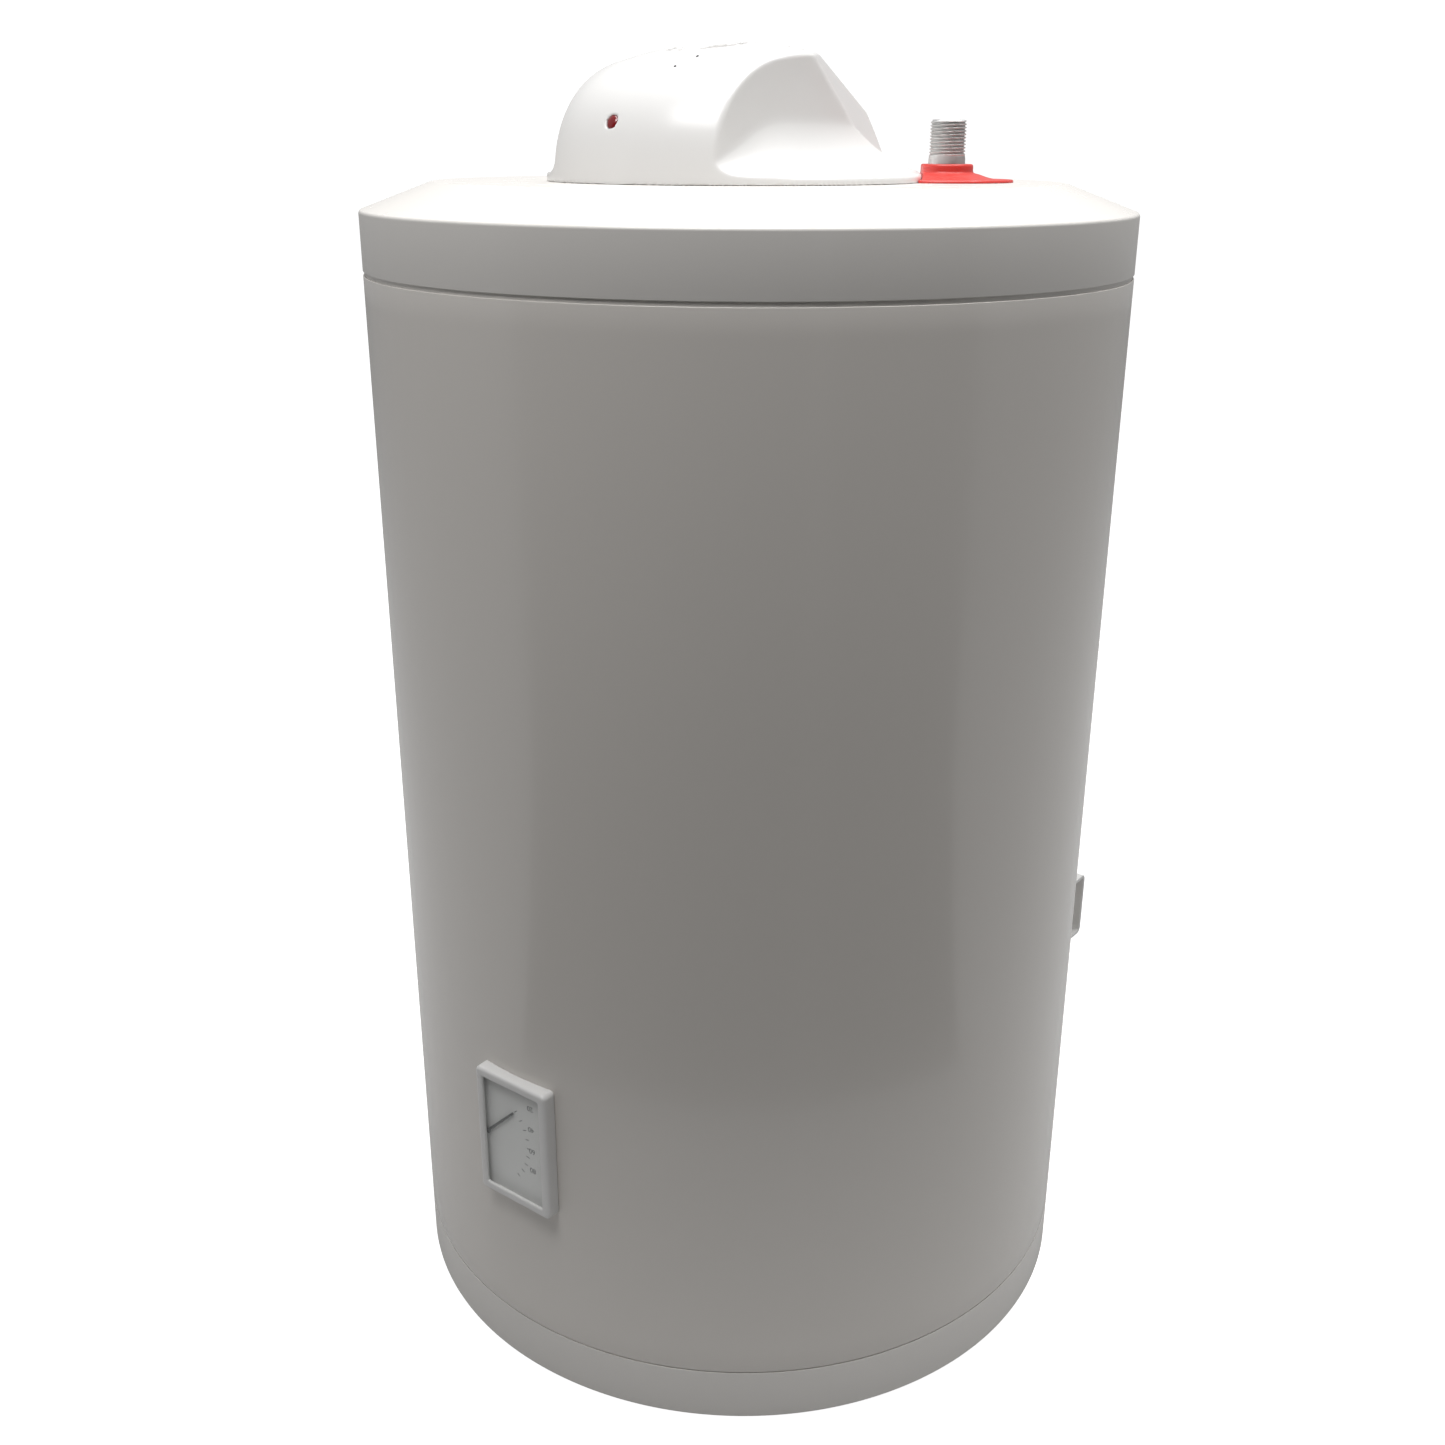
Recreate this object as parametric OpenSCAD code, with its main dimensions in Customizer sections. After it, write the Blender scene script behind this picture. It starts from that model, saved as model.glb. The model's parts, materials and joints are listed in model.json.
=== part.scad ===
// Wall-hung electric storage water heater of the 80 litre class.
// It stands on its closed end with the service end up, as it is kept before it is hung.
// Origin: centre of the bottom face. +Z up, front towards -Y, wall side towards +Y. Millimetres.

/* [Body] */
// Outside diameter of the jacket and of both end caps
body_d = 454; // [450:1:458]
// Thickness of the sheet steel jacket
jacket_t = 0.8; // [0.6:0.1:1]
// Height of the seam between the closed end cap and the jacket
seam_z = 36; // [34:1:40]
// Height of the groove between the jacket and the service end cap
groove_z = 671; // [669:1:673]
// Wall thickness of the plastic end caps
cap_t = 2.5; // [2:0.1:3]
// Height of the service cap's outer rim
rim_z = 705; // [703:1:708]
// Height of the flat top of the service cap
plateau_z = 720.5; // [718:0.5:723]
// Radius of the flat top of the service cap
plateau_r = 185; // [180:1:190]

/* [Tank] */
// Outside radius of the steel tank
tank_r = 204; // [202:1:206]
// Wall thickness of the tank
tank_t = 2; // [1.8:0.1:2.5]
// Lowest point of the closed end's dish
tank_low_z = 27; // [24:1:30]
// Highest point of the service end's dish
tank_high_z = 670; // [668:1:672]
// Depth of each dished end
dish_depth = 35; // [30:1:40]

/* [Service flange] */
// Distance of the flange, the cover and the controls from the tank's axis, towards the front
service_offset = 14; // [12:1:16]
// Outer radius of the flange ring and plate
flange_r = 74; // [73:1:75]
// Pitch radius of the flange studs
stud_pitch_r = 66; // [65:0.5:66.5]
// Radius of the flange studs
stud_r = 4; // [3:0.5:4]
// Number of flange studs
stud_count = 6; // [6:1:6]
// Radius of the tube of a heating element
element_r = 4.25; // [4:0.25:4.5]
// Length of a heating element below the flange plate
element_length = 260; // [200:10:300]
// Radius of the magnesium anode
anode_r = 11; // [8:0.5:12]
// Length of the magnesium anode
anode_length = 300; // [200:10:400]

/* [Terminal cover] */
// Radius of the cover's round foot
cover_r = 109; // [107:0.5:110]
// Height of the cover above the service cap
cover_h = 74.8; // [73:0.2:77]
// Wall thickness of the cover
cover_t = 2.5; // [2:0.1:3]
// Distance of the upright side walls from the middle
cover_side_x = 56; // [54:1:58]
// Full radius of the hollow that runs from a side wall down to the foot
scoop_r = 40; // [36:1:42]
// Height of the low rim at the end of each hollow
skirt_h = 4; // [3.6:0.1:5]
// Distance of the cover screws from the middle
cover_screw_x = 99; // [98:0.5:100]

/* [Controls] */
// Distance of the thermostat knob from the middle of the cover, towards the front
knob_offset = 28; // [26:1:30]
// Tilt of the thermostat knob towards the front
knob_tilt = 8; // [6:1:9]
// Radius of the thermostat knob
knob_r = 20; // [18:0.5:21]
// Radius of the hollow that the knob sits in
knob_recess_r = 23; // [22:0.5:24]
// Travel of the reset button
reset_travel = 2; // [1.5:0.5:2.5]
// Height of the indicator lamp above the service cap
lamp_h = 31.5; // [28:0.5:34]
// Angle of the indicator lamp to the left of the cover's middle line
lamp_turn = 2.8; // [0:0.2:6]
// Radius of the indicator lamp's lens
lamp_r = 3.8; // [3:0.2:4.4]

/* [Pipes] */
// Distance of each water pipe from the middle
pipe_x = 100; // [98:1:102]
// Distance of the water pipes from the middle, towards the wall
pipe_y = 59; // [57:1:61]
// Outside radius of the plain pipe
pipe_r = 10.65; // [10.6:0.05:10.7]
// Outside radius of the G1/2 thread
thread_r = 10.48; // [10.4:0.01:10.5]
// Inside radius of the pipe
pipe_bore_r = 8; // [7:0.25:8]
// Height of the pipe ends above the service cap
pipe_stand = 34; // [30:1:38]
// Length of the thread
thread_length = 20; // [16:1:21]
// Radius of the coloured rings around the pipes
ring_r = 39; // [36:1:40]

/* [Thermometer] */
// Height of the middle of the thermometer
dial_z = 175; // [170:1:190]
// Width of the thermometer frame
bezel_w = 57; // [56:0.5:58]
// Height of the thermometer frame
bezel_h = 88; // [86:1:90]
// Height of the thermometer frame above the jacket
bezel_proud = 7.5; // [7.5:0.1:8]
// Width of the window in the frame
window_w = 46; // [44:1:47]
// Height of the window in the frame
window_h = 76; // [72:1:77]
// Angle of the pointer above level when the water is cold
pointer_cold = 44; // [40:1:44]
// Length of the pointer from its spindle
pointer_length = 31.4; // [28:0.2:33]

/* [Wall bracket] */
// Width of the wall bracket
bracket_w = 312; // [308:1:316]
// Height of the wall bracket
bracket_h = 50; // [48:1:52]
// Height of the bracket's middle line
bracket_z = 193; // [188:1:198]
// Distance of the wall from the middle of the heater
wall_y = 234; // [234:0.5:236]
// Thickness of the bracket plate
bracket_t = 2.5; // [2:0.1:3]
// Distance between the two wall slots
slot_spacing = 270; // [268:1:272]
// Half the height of a wall slot
slot_r = 5.5; // [5:0.25:5.5]
// Length of a wall slot
slot_length = 25; // [22:1:26]
// Distance of each hanger arm from the middle
arm_x = 90; // [88:1:92]

/* [Hidden] */
$fn = 96;
gap = 0.3;                       // room between separate pieces that don't bear on each other
body_r = body_d / 2;
jacket_in_r = body_r - jacket_t;
jacket_low_z = seam_z + 0.4;
jacket_high_z = groove_z - 1.2;
spigot_r = jacket_in_r - 0.2;    // the caps' spigots slide into the jacket
spigot_length = 12;
foam_r = spigot_r - cap_t - gap;
service_y = -service_offset;
dish_r = (tank_r * tank_r + dish_depth * dish_depth) / (2 * dish_depth);
low_dish_z = tank_low_z + dish_r;     // centre of the sphere of the closed end's dish
high_dish_z = tank_high_z - dish_r;   // centre of the sphere of the service end's dish
shell_low_z = tank_low_z + dish_depth;
shell_high_z = tank_high_z - dish_depth;
well_r = flange_r + 6;                // the way through cap and foam to the flange
neck_r = 59;
neck_t = 3;
ring_top_z = tank_high_z + 14;        // sealing face of the flange ring
gasket_t = 3;
plate_low_z = ring_top_z + gasket_t;
plate_t = 6;
plate_z = plate_low_z + plate_t;      // outer face of the flange plate
element_x = 32;
element_leg_y = 14;
pin_top_z = plate_z + 19;             // top of the elements' terminal pins
anode_y = 32;
pocket_y = -24;
pocket_r = 6;
earth_y = -46;
bulb_r = 2;
knuckle_r = 62;                       // the cover's round shoulder
knuckle_h = 5;                        // height of the shoulder's centre
knuckle_x = cover_r - knuckle_r;
crown_drop = cover_h - knuckle_h;
crown_r = (crown_drop * crown_drop + knuckle_x * knuckle_x - knuckle_r * knuckle_r)
  / (2 * (crown_drop - knuckle_r));
crown_tilt = atan2(knuckle_x, crown_r - crown_drop);
bevel_angle = 39.6;                    // fall of the line between side wall and bevel, to the back
bevel_start_h = 63.8;                 // height of that line over the cover's middle
bevel_in = 24.4;
bevel_up = 40;
back_fall = 19.8;                     // fall of the cover's back face
back_start_y = -5;                    // where the back face leaves the crown
flare_front_y = -93;                  // the hollow starts narrow at the front of the side wall
flare_front_r = 14;
flare_turn_y = -46;                   // and has its full radius from here on to the back
knob_face_h = cover_h - knob_offset * knob_offset / (2 * crown_r);
recess_depth = 12.5;
hub_r = 7;
shaft_r = 3;
shaft_top = -4.2;                     // measured down the knob's axis, as the deck is
lamp_tilt = asin((lamp_h - knuckle_h) / knuckle_r);
lamp_flange_y = -knuckle_r + cover_t + 0.5;
lamp_length = 13;
wire_r = 1.3;
deck_low = -45;                       // the thermostat deck, measured down the knob's axis
deck_t = 1.5;
deck_high = deck_low + deck_t;
deck_x = 41.5;
leg_t = 1.5;
body_depth = 28;
pipe_top_z = plateau_z + pipe_stand;
pipe_low_z = tank_high_z - 32;
standpipe_low_z = tank_low_z + 22;
ring_hub_r = 15.5;
ring_hub_h = 10;
seal_r = 20;
inner_z = plateau_z - cap_t;          // underside of the service cap's flat top
foam_top_z = rim_z - 6;
foam_step_z = groove_z - spigot_length - 2;
cord_r = 3.5;
cord_h = 14.5;                        // height of the cord's way out above the service cap
gland_r = 7.4;
gland_bore_r = 3.7;
bezel_y = -(body_r + bezel_proud);
frame_t = 1.9;
pocket_half_w = bezel_w / 2 - 1.7;
pocket_half_h = bezel_h / 2 - 2;
window_t = 1.2;
window_y = bezel_y + frame_t;         // front face of the clear window
dial_face_y = -(body_r + 2.6);
dial_t = 1;
pivot_x = -24;
pivot_z = dial_z - 3;
pointer_t = 0.6;
pointer_y = dial_face_y - 1.4;        // front face of the pointer
spindle_r = 0.6;
stem_r = 2.4;
stem_bore_r = 2;
stem_end_y = -(tank_r + gap);
coil_turns = 9;
coil_r = 1.45;
coil_wire_r = 0.2;
bracket_in_y = wall_y - bracket_t;
lip_depth = 14;
dimple_depth = 6;
dimple_r = 15.5;
arm_r = 14;
arm_end_y = wall_y - dimple_depth - bracket_t;
bracket_bolt_r = 4;

// ---- shared shapes ----

module tube(outer_r, inner_r, low_z, high_z) {
  difference() {
    translate([0, 0, low_z]) cylinder(r = outer_r, h = high_z - low_z);
    translate([0, 0, low_z - 1]) cylinder(r = inner_r, h = high_z - low_z + 2);
  }
}

module box(low, high) {
  translate(low) cube(high - low);
}

module at_service() {
  translate([0, service_y, 0]) children();
}

module on_knob_axis() {
  translate([0, service_y - knob_offset, plateau_z + knob_face_h])
    rotate([knob_tilt, 0, 0]) children();
}

module at_pipes() {
  for (side = [-1, 1]) translate([side * pipe_x, pipe_y, 0]) children();
}

// a cylinder that runs along +Y from low_y to high_y
module y_cylinder(r, low_y, high_y) {
  translate([0, low_y, 0]) rotate([-90, 0, 0]) cylinder(r = r, h = high_y - low_y);
}

function stud_places() =
  [for (i = [0 : stud_count - 1]) stud_pitch_r * [cos(i * 360 / stud_count), sin(i * 360 / stud_count), 0]];

// A thin round tube along a smooth curve through the given points
function curve_point(p, i, t) =
  let (a = p[max(i - 1, 0)], b = p[i], c = p[i + 1], d = p[min(i + 2, len(p) - 1)])
  0.5 * (2 * b + (c - a) * t + (2 * a - 5 * b + 4 * c - d) * t * t + (3 * b - a - 3 * c + d) * t * t * t);
function smooth_path(p, steps) = concat(
  [for (i = [0 : len(p) - 2]) for (s = [0 : steps - 1]) curve_point(p, i, s / steps)], [p[len(p) - 1]]);
function unit(v) = v / norm(v);
function path_way(path, i) = unit(path[min(i + 1, len(path) - 1)] - path[max(i - 1, 0)]);
// an upright direction for each ring, carried along the path so that the tube doesn't twist
function carried(path, i, before) = let (w = path_way(path, i)) unit(before - (before * w) * w);
function uprights(path, i, before) = i >= len(path) ? [] :
  let (now = carried(path, i, before)) concat([now], uprights(path, i + 1, now));

module wire(points, r, first_up = [0.3, 0.2, 1], steps = 4, sides = 8) {
  path = smooth_path(points, steps);
  ups = uprights(path, 0, first_up);
  last = len(path) - 1;
  turn = 360 / sides;
  rings = [for (i = [0 : last]) for (k = [0 : sides - 1])
    path[i] + r * (cos(k * turn) * ups[i] + sin(k * turn) * cross(path_way(path, i), ups[i]))];
  walls = [for (i = [0 : last - 1]) for (k = [0 : sides - 1])
    let (n = (k + 1) % sides)
    [i * sides + k, (i + 1) * sides + k, (i + 1) * sides + n, i * sides + n]];
  start = [for (k = [0 : sides - 1]) k];
  end = [for (k = [0 : sides - 1]) last * sides + sides - 1 - k];
  polyhedron(points = rings, faces = concat(walls, [start], [end]), convexity = 6);
}

// ---- casing ----

module outer_jacket() {
  color("whitesmoke") difference() {
    tube(body_r, jacket_in_r, jacket_low_z, jacket_high_z);
    translate([pivot_x, 0, pivot_z]) y_cylinder(stem_r + 0.2, -body_r - 1, 0);
    for (side = [-1, 1])
      translate([side * arm_x, 0, bracket_z]) y_cylinder(arm_r + gap, 0, body_r + 1);
  }
}

module cap_skin(inset) {
  // outline of the service cap: upright rim, cone and flat top
  rotate_extrude() polygon([[0, groove_z + 1.2], [body_r - inset, groove_z + 1.2],
    [body_r - inset, rim_z - 1 - inset * 0.2],
    [body_r - 1 - inset, rim_z - inset * 0.9], [plateau_r - inset * 0.2, plateau_z - inset],
    [0, plateau_z - inset]]);
}

module service_end_cap() {
  spigot_low_z = groove_z - spigot_length;
  color("white") difference() {
    union() {
      difference() {
        cap_skin(0);
        difference() {
          cap_skin(cap_t);
          at_service() tube(well_r + cap_t, well_r, inner_z - 8, plateau_z);
          for (side = [-1, 1])
            translate([side * cover_screw_x, service_y, inner_z - 16]) cylinder(r = 4.5, h = 20);
        }
        translate([0, 0, groove_z]) cylinder(r = spigot_r - cap_t, h = 4);
      }
      tube(spigot_r, spigot_r - cap_t, spigot_low_z, groove_z + 1.2);
    }
    at_service() translate([0, 0, inner_z - 20]) cylinder(r = well_r, h = 40);
    at_pipes() translate([0, 0, inner_z - 5]) cylinder(r = 14, h = 20);
    for (side = [-1, 1]) {
      translate([side * cover_screw_x, service_y, inner_z - 14]) cylinder(r = 1.95, h = 40);
      translate([side * 9, service_y + 90, inner_z - 1]) cylinder(r = 1.6, h = 20);
    }
  }
}

module closed_end_cap() {
  foot_round = 3;
  color("white") difference() {
    union() {
      rotate_extrude() polygon([[0, 0], [body_r - foot_round, 0], [body_r - 0.9, 0.9],
        [body_r, foot_round], [body_r, seam_z - 0.4], [0, seam_z - 0.4]]);
      translate([0, 0, seam_z - 1]) cylinder(r = spigot_r, h = spigot_length);
    }
    translate([0, 0, cap_t]) cylinder(r = spigot_r - cap_t, h = seam_z + spigot_length);
  }
}

module foam_sleeve() {
  color("khaki") difference() {
    tube(jacket_in_r - 0.2, tank_r + gap, seam_z + spigot_length, foam_step_z);
    translate([pivot_x, 0, pivot_z]) y_cylinder(stem_r + 0.2, -body_r - 1, 0);
    for (side = [-1, 1])
      translate([side * arm_x, 0, bracket_z]) y_cylinder(arm_r + gap, 0, body_r + 1);
  }
}

module foam_service_end() {
  color("khaki") difference() {
    union() {
      translate([0, 0, foam_step_z]) cylinder(r = foam_r, h = foam_top_z - foam_step_z);
      translate([0, 0, shell_high_z + gap]) cylinder(r = tank_r, h = foam_step_z - shell_high_z);
    }
    translate([0, 0, high_dish_z]) sphere(r = dish_r + gap);
    at_service() translate([0, 0, tank_high_z - 40]) cylinder(r = well_r, h = 80);
    at_pipes() translate([0, 0, tank_high_z - 60]) cylinder(r = pipe_r + gap, h = 100);
  }
}

module foam_closed_end() {
  color("khaki") difference() {
    union() {
      translate([0, 0, cap_t + gap])
        cylinder(r = foam_r, h = seam_z + spigot_length - 1.6 - cap_t - gap);
      translate([0, 0, seam_z]) cylinder(r = tank_r, h = shell_low_z - seam_z - gap);
    }
    translate([0, 0, low_dish_z]) sphere(r = dish_r + gap);
  }
}

// ---- tank ----

module tank_shell() {
  color("steelblue") tube(tank_r, tank_r - tank_t, shell_low_z, shell_high_z);
}

// section of a dished end, drawn from the centre of its sphere: outer arc out, inner arc back
function dish_arc(r, edge, steps) =
  [for (i = [0 : steps]) let (a = asin(edge / r) * i / steps) r * [sin(a), cos(a)]];
function dish_inner_edge() = sqrt(pow(dish_r - tank_t, 2) - pow(dish_r - dish_depth, 2));

module dish() {
  inner = dish_arc(dish_r - tank_t, dish_inner_edge(), 24);
  rotate_extrude() polygon(concat(dish_arc(dish_r, tank_r, 24), [for (i = [24 : -1 : 0]) inner[i]]));
}

module tank_service_end() {
  color("steelblue") difference() {
    translate([0, 0, high_dish_z]) dish();
    at_service() translate([0, 0, tank_high_z - 60]) cylinder(r = neck_r + 0.1, h = 90);
    at_pipes() translate([0, 0, tank_high_z - 60]) cylinder(r = pipe_r + 0.1, h = 90);
  }
}

module tank_closed_end() {
  color("steelblue") translate([0, 0, low_dish_z]) mirror([0, 0, 1]) dish();
}

module flange_neck() {
  ring_t = 7;
  color("steelblue") at_service() difference() {
    union() {
      translate([0, 0, tank_high_z - 12]) cylinder(r = neck_r, h = 26);
      translate([0, 0, ring_top_z - ring_t]) cylinder(r = flange_r, h = ring_t);
    }
    translate([0, 0, tank_high_z - 20]) cylinder(r = neck_r - neck_t, h = 60);
    for (p = stud_places())
      translate(p + [0, 0, ring_top_z - ring_t - 1]) cylinder(r = stud_r + 0.05, h = 20);
  }
}

module flange_gasket() {
  color("dimgray") at_service() tube(stud_pitch_r - stud_r - 1, 50, ring_top_z, plate_low_z);
}

module flange_plate() {
  color("silver") at_service() difference() {
    translate([0, 0, plate_low_z]) cylinder(r = flange_r, h = plate_t);
    for (p = stud_places())
      translate(p + [0, 0, plate_low_z - 1]) cylinder(r = stud_r + 0.5, h = 20);
    for (side = [-1, 1]) for (leg = [-1, 1])
      translate([side * element_x, leg * element_leg_y, plate_low_z - 1])
        cylinder(r = element_r + 0.05, h = 20);
    translate([0, anode_y, plate_low_z - 1]) cylinder(r = 4.05, h = 20);
    translate([0, pocket_y, plate_low_z - 1]) cylinder(r = pocket_r + 0.05, h = 20);
    translate([0, earth_y, plate_low_z - 1]) cylinder(r = 3.05, h = 20);
  }
}

module flange_studs() {
  color("silver") at_service() for (p = stud_places())
    translate(p + [0, 0, ring_top_z - 6]) cylinder(r = stud_r, h = 26);
}

module flange_nuts() {
  color("gray") at_service() for (p = stud_places()) translate(p + [0, 0, plate_z]) difference() {
    cylinder(r = 7.5, h = 6.5, $fn = 6);
    translate([0, 0, -1]) cylinder(r = stud_r + 0.05, h = 10);
  }
}

module heating_element() {
  leg_top = pin_top_z - 12;
  bend_z = plate_low_z - element_length + element_leg_y;
  union() {
    for (leg = [-1, 1]) translate([0, leg * element_leg_y, bend_z]) {
      cylinder(r = element_r, h = leg_top - bend_z);
      translate([0, 0, leg_top - bend_z]) cylinder(r = 1.6, h = 12);
    }
    translate([0, 0, bend_z]) rotate([0, 90, 0]) rotate([0, 0, -90])
      rotate_extrude(angle = 180) translate([element_leg_y, 0]) circle(r = element_r);
  }
}

module heating_element_left() {
  color("darkgray") at_service() translate([-element_x, 0, 0]) heating_element();
}

module heating_element_right() {
  color("darkgray") at_service() translate([element_x, 0, 0]) heating_element();
}

module anode_rod() {
  color("lightgray") at_service() translate([0, anode_y, 0]) {
    translate([0, 0, plate_low_z - 4 - anode_length]) cylinder(r = anode_r, h = anode_length);
    translate([0, 0, plate_low_z - 5]) cylinder(r = 4, h = plate_t + 17);
  }
}

module anode_nut() {
  color("gray") at_service() translate([0, anode_y, plate_z]) difference() {
    cylinder(r = 7.5, h = 6.5, $fn = 6);
    translate([0, 0, -1]) cylinder(r = 4.05, h = 10);
  }
}

module sensor_pocket() {
  depth = 250;
  color("rosybrown") at_service() translate([0, pocket_y, plate_z + 3 - depth]) difference() {
    cylinder(r = pocket_r, h = depth);
    translate([0, 0, 1.5]) cylinder(r = pocket_r - 1, h = depth);
  }
}

module sensor_bulbs() {
  color("peru") at_service() for (side = [-1, 1])
    translate([side * 2.4, pocket_y, plate_z - 240]) cylinder(r = bulb_r, h = 110);
}

// ---- controls ----

// places in the tilted frames of the knob and of the lamp
function tilted(p, turn) = [p.x, p.y * cos(turn) - p.z * sin(turn), p.y * sin(turn) + p.z * cos(turn)];
function from_knob(p) = tilted(p, knob_tilt) + [0, service_y - knob_offset, plateau_z + knob_face_h];
function turned(p, turn) = [p.x * cos(turn) - p.y * sin(turn), p.x * sin(turn) + p.y * cos(turn), p.z];
function from_lamp(p) = turned(tilted(p, -lamp_tilt) - [0, knuckle_x, 0], -lamp_turn)
  + [0, service_y, plateau_z + knuckle_h];

// thin lines from the sensing bulbs up to the cut-out and to the thermostat
module capillary_tubes() {
  bulb_y = service_y + pocket_y;
  bulb_top_z = plate_z - 130;
  color("peru") {
    wire([[-2.4, bulb_y, bulb_top_z], [-2.4, bulb_y, plate_z - 60], [-2.4, bulb_y, plate_z + 5],
      [-8, bulb_y - 14, plate_z + 14], [-14, bulb_y - 24, plate_z + 30],
      from_knob([-24, -25, deck_low - 4]), from_knob([-27, -19, deck_high + 6]),
      from_knob([-27, -12, deck_high + 6])], 0.8);
    wire([[2.4, bulb_y, bulb_top_z], [2.4, bulb_y, plate_z - 60], [2.4, bulb_y, plate_z + 5],
      [6, bulb_y - 12, plate_z + 13], from_knob([8, -26, deck_low - 22]),
      from_knob([8, -23, deck_low - 16]), from_knob([8, -17, deck_low - 16])], 0.8);
  }
}

module thermostat_bracket() {
  leg_y = service_y - knob_offset + 4;
  leg_x = deck_x - leg_t - 0.5;
  leg_w = 20;
  foot = 9;
  color("silver") union() {
    on_knob_axis() difference() {
      box([-deck_x, -20, deck_low], [deck_x, 20, deck_high]);
      translate([0, 0, deck_low - 1]) cylinder(r = 5, h = 5);
    }
    difference() {
      for (side = [0, 1]) mirror([side, 0, 0]) {
        box([leg_x, leg_y, plate_z], [leg_x + leg_t, leg_y + leg_w, plate_z + 60]);
        box([leg_x, leg_y, plate_z], [leg_x + foot, leg_y + leg_w, plate_z + leg_t]);
      }
      on_knob_axis() box([-60, -60, deck_high - 0.5], [60, 60, 60]);
    }
  }
}

module thermostat_body() {
  color("saddlebrown") on_knob_axis() difference() {
    union() {
      box([-23, -17, deck_low - body_depth], [23, 17, deck_low - 8]);
      box([-19, -15, deck_low - 8], [19, 15, deck_low]);
    }
    translate([0, 0, deck_low - 12]) cylinder(r = shaft_r + 0.06, h = 20);
  }
}

module thermostat_shaft() {
  color("silver") on_knob_axis() translate([0, 0, deck_low - 11.5])
    cylinder(r = shaft_r, h = shaft_top - deck_low + 11.5);
}

module thermostat_knob() {
  top = -0.9;
  low = -recess_depth + 1.2;
  bar_half = 4.5;
  color("white") on_knob_axis() difference() {
    union() {
      rotate_extrude() polygon([[0, low], [knob_r - 0.8, low], [knob_r, low + 0.8], [knob_r, top - 1.4],
        [knob_r - 1.2, top - 0.5], [knob_r * 0.5, top - 0.1], [0, top]]);
      translate([0, 0, low - 8]) cylinder(r = hub_r, h = 9);
    }
    translate([0, 0, low - 9]) cylinder(r = shaft_r + 0.02, h = shaft_top - low + 9.2);
    for (side = [0, 1]) mirror([side, 0, 0]) intersection() {
      translate([0, 0, top - 6.5]) cylinder(r = knob_r - 2, h = 12);
      box([bar_half, -knob_r, top - 6.5], [knob_r, knob_r, top + 2]);
    }
    box([-0.7, -knob_r - 1, top - 0.6], [0.7, -knob_r * 0.45, top + 2]);
  }
}

module cutout_body() {
  color("dimgray") on_knob_axis() difference() {
    box([-40, -12, deck_high], [-14, 12, deck_high + 16]);
    translate([-27, 0, deck_high + 8]) cylinder(r = 3.1, h = 20);
  }
}

module reset_button() {
  color("red") on_knob_axis() translate([-27, 0, deck_high + 8 + reset_travel + 0.4])
    cylinder(r = 3, h = 8);
}

module terminal_block() {
  color("ivory") on_knob_axis() difference() {
    box([12, -15, deck_high], [39, 15, deck_high + 13]);
    for (row = [-1 : 1]) for (side = [-1, 1])
      translate([25.5 + side * 7.5, row * 9.5, deck_high + 5]) cylinder(r = 2.1, h = 20);
  }
}

module terminal_screws() {
  color("gold") on_knob_axis() for (row = [-1 : 1]) for (side = [-1, 1])
    translate([25.5 + side * 7.5, row * 9.5, deck_high + 5]) difference() {
      cylinder(r = 1.9, h = 7);
      box([-2.5, -0.35, 6], [2.5, 0.35, 8]);
    }
}

module earth_screw() {
  color("gold") at_service() translate([0, earth_y, 0]) {
    translate([0, 0, plate_low_z]) cylinder(r = 2.9, h = plate_t + 3);
    translate([0, 0, plate_z]) cylinder(r = 6, h = 1.2);
    translate([0, 0, plate_z + 1.2]) cylinder(r = 5.5, h = 4, $fn = 6);
  }
}

// live: terminal block to cut-out, on to the thermostat, and from it to the front pin of each element
module live_wires() {
  front_pin_y = service_y - element_leg_y;
  color("saddlebrown") {
    wire([from_knob([12, -9.5, deck_high + 5]), from_knob([7, -9.5, deck_high + 5]),
      from_knob([0, -10, deck_high + 8]), from_knob([-8, -8, deck_high + 6]),
      from_knob([-13.9, -8, deck_high + 6])], wire_r);
    wire([from_knob([-27, 12.1, deck_high + 6]), from_knob([-27, 17, deck_high + 6]),
      from_knob([-25, 25, deck_low - 1]), from_knob([-14, 25, deck_low - 12]),
      from_knob([-10, 21, deck_low - 17]), from_knob([-10, 17.4, deck_low - 17])], wire_r);
    for (side = [-1, 1])
      wire([from_knob([side * 23.4, 0, deck_low - 19]), from_knob([side * 28, 0, deck_low - 19]),
        [side * element_x, front_pin_y, plate_z + 27], [side * element_x, front_pin_y, plate_z + 22],
        [side * element_x, front_pin_y, pin_top_z]], wire_r);
  }
}

// neutral: terminal block to the rear pin of one element, and across to the other element
module neutral_wires() {
  rear_pin_y = service_y + element_leg_y;
  color("royalblue") {
    wire([from_knob([30, 15.3, deck_high + 5]), from_knob([30, 19, deck_high + 5]),
      from_knob([30, 26, deck_low]), [element_x, rear_pin_y + 1, plate_z + 40],
      [element_x, rear_pin_y, plate_z + 26], [element_x, rear_pin_y, pin_top_z]], wire_r);
    wire([[element_x - 1.7, rear_pin_y, plate_z + 15], [element_x - 7, rear_pin_y, plate_z + 15],
      [14, rear_pin_y + 5, plate_z + 13], [-14, rear_pin_y + 5, plate_z + 13],
      [7 - element_x, rear_pin_y, plate_z + 15], [1.7 - element_x, rear_pin_y, plate_z + 15]], wire_r);
  }
}

// earth: terminal block down to the screw on the flange plate
module earth_wire() {
  screw_y = service_y + earth_y;
  color("yellowgreen") wire([[7.6, screw_y, plate_z + 2.8], [13, screw_y, plate_z + 3],
    [30, screw_y + 5, plate_z + 20], [46, -50, plate_z + 36], from_knob([47, -12, deck_high - 4]),
    from_knob([44, -9.5, deck_high + 5]), from_knob([39.1, -9.5, deck_high + 5])], wire_r);
}

// ---- cord entry ----

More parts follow.
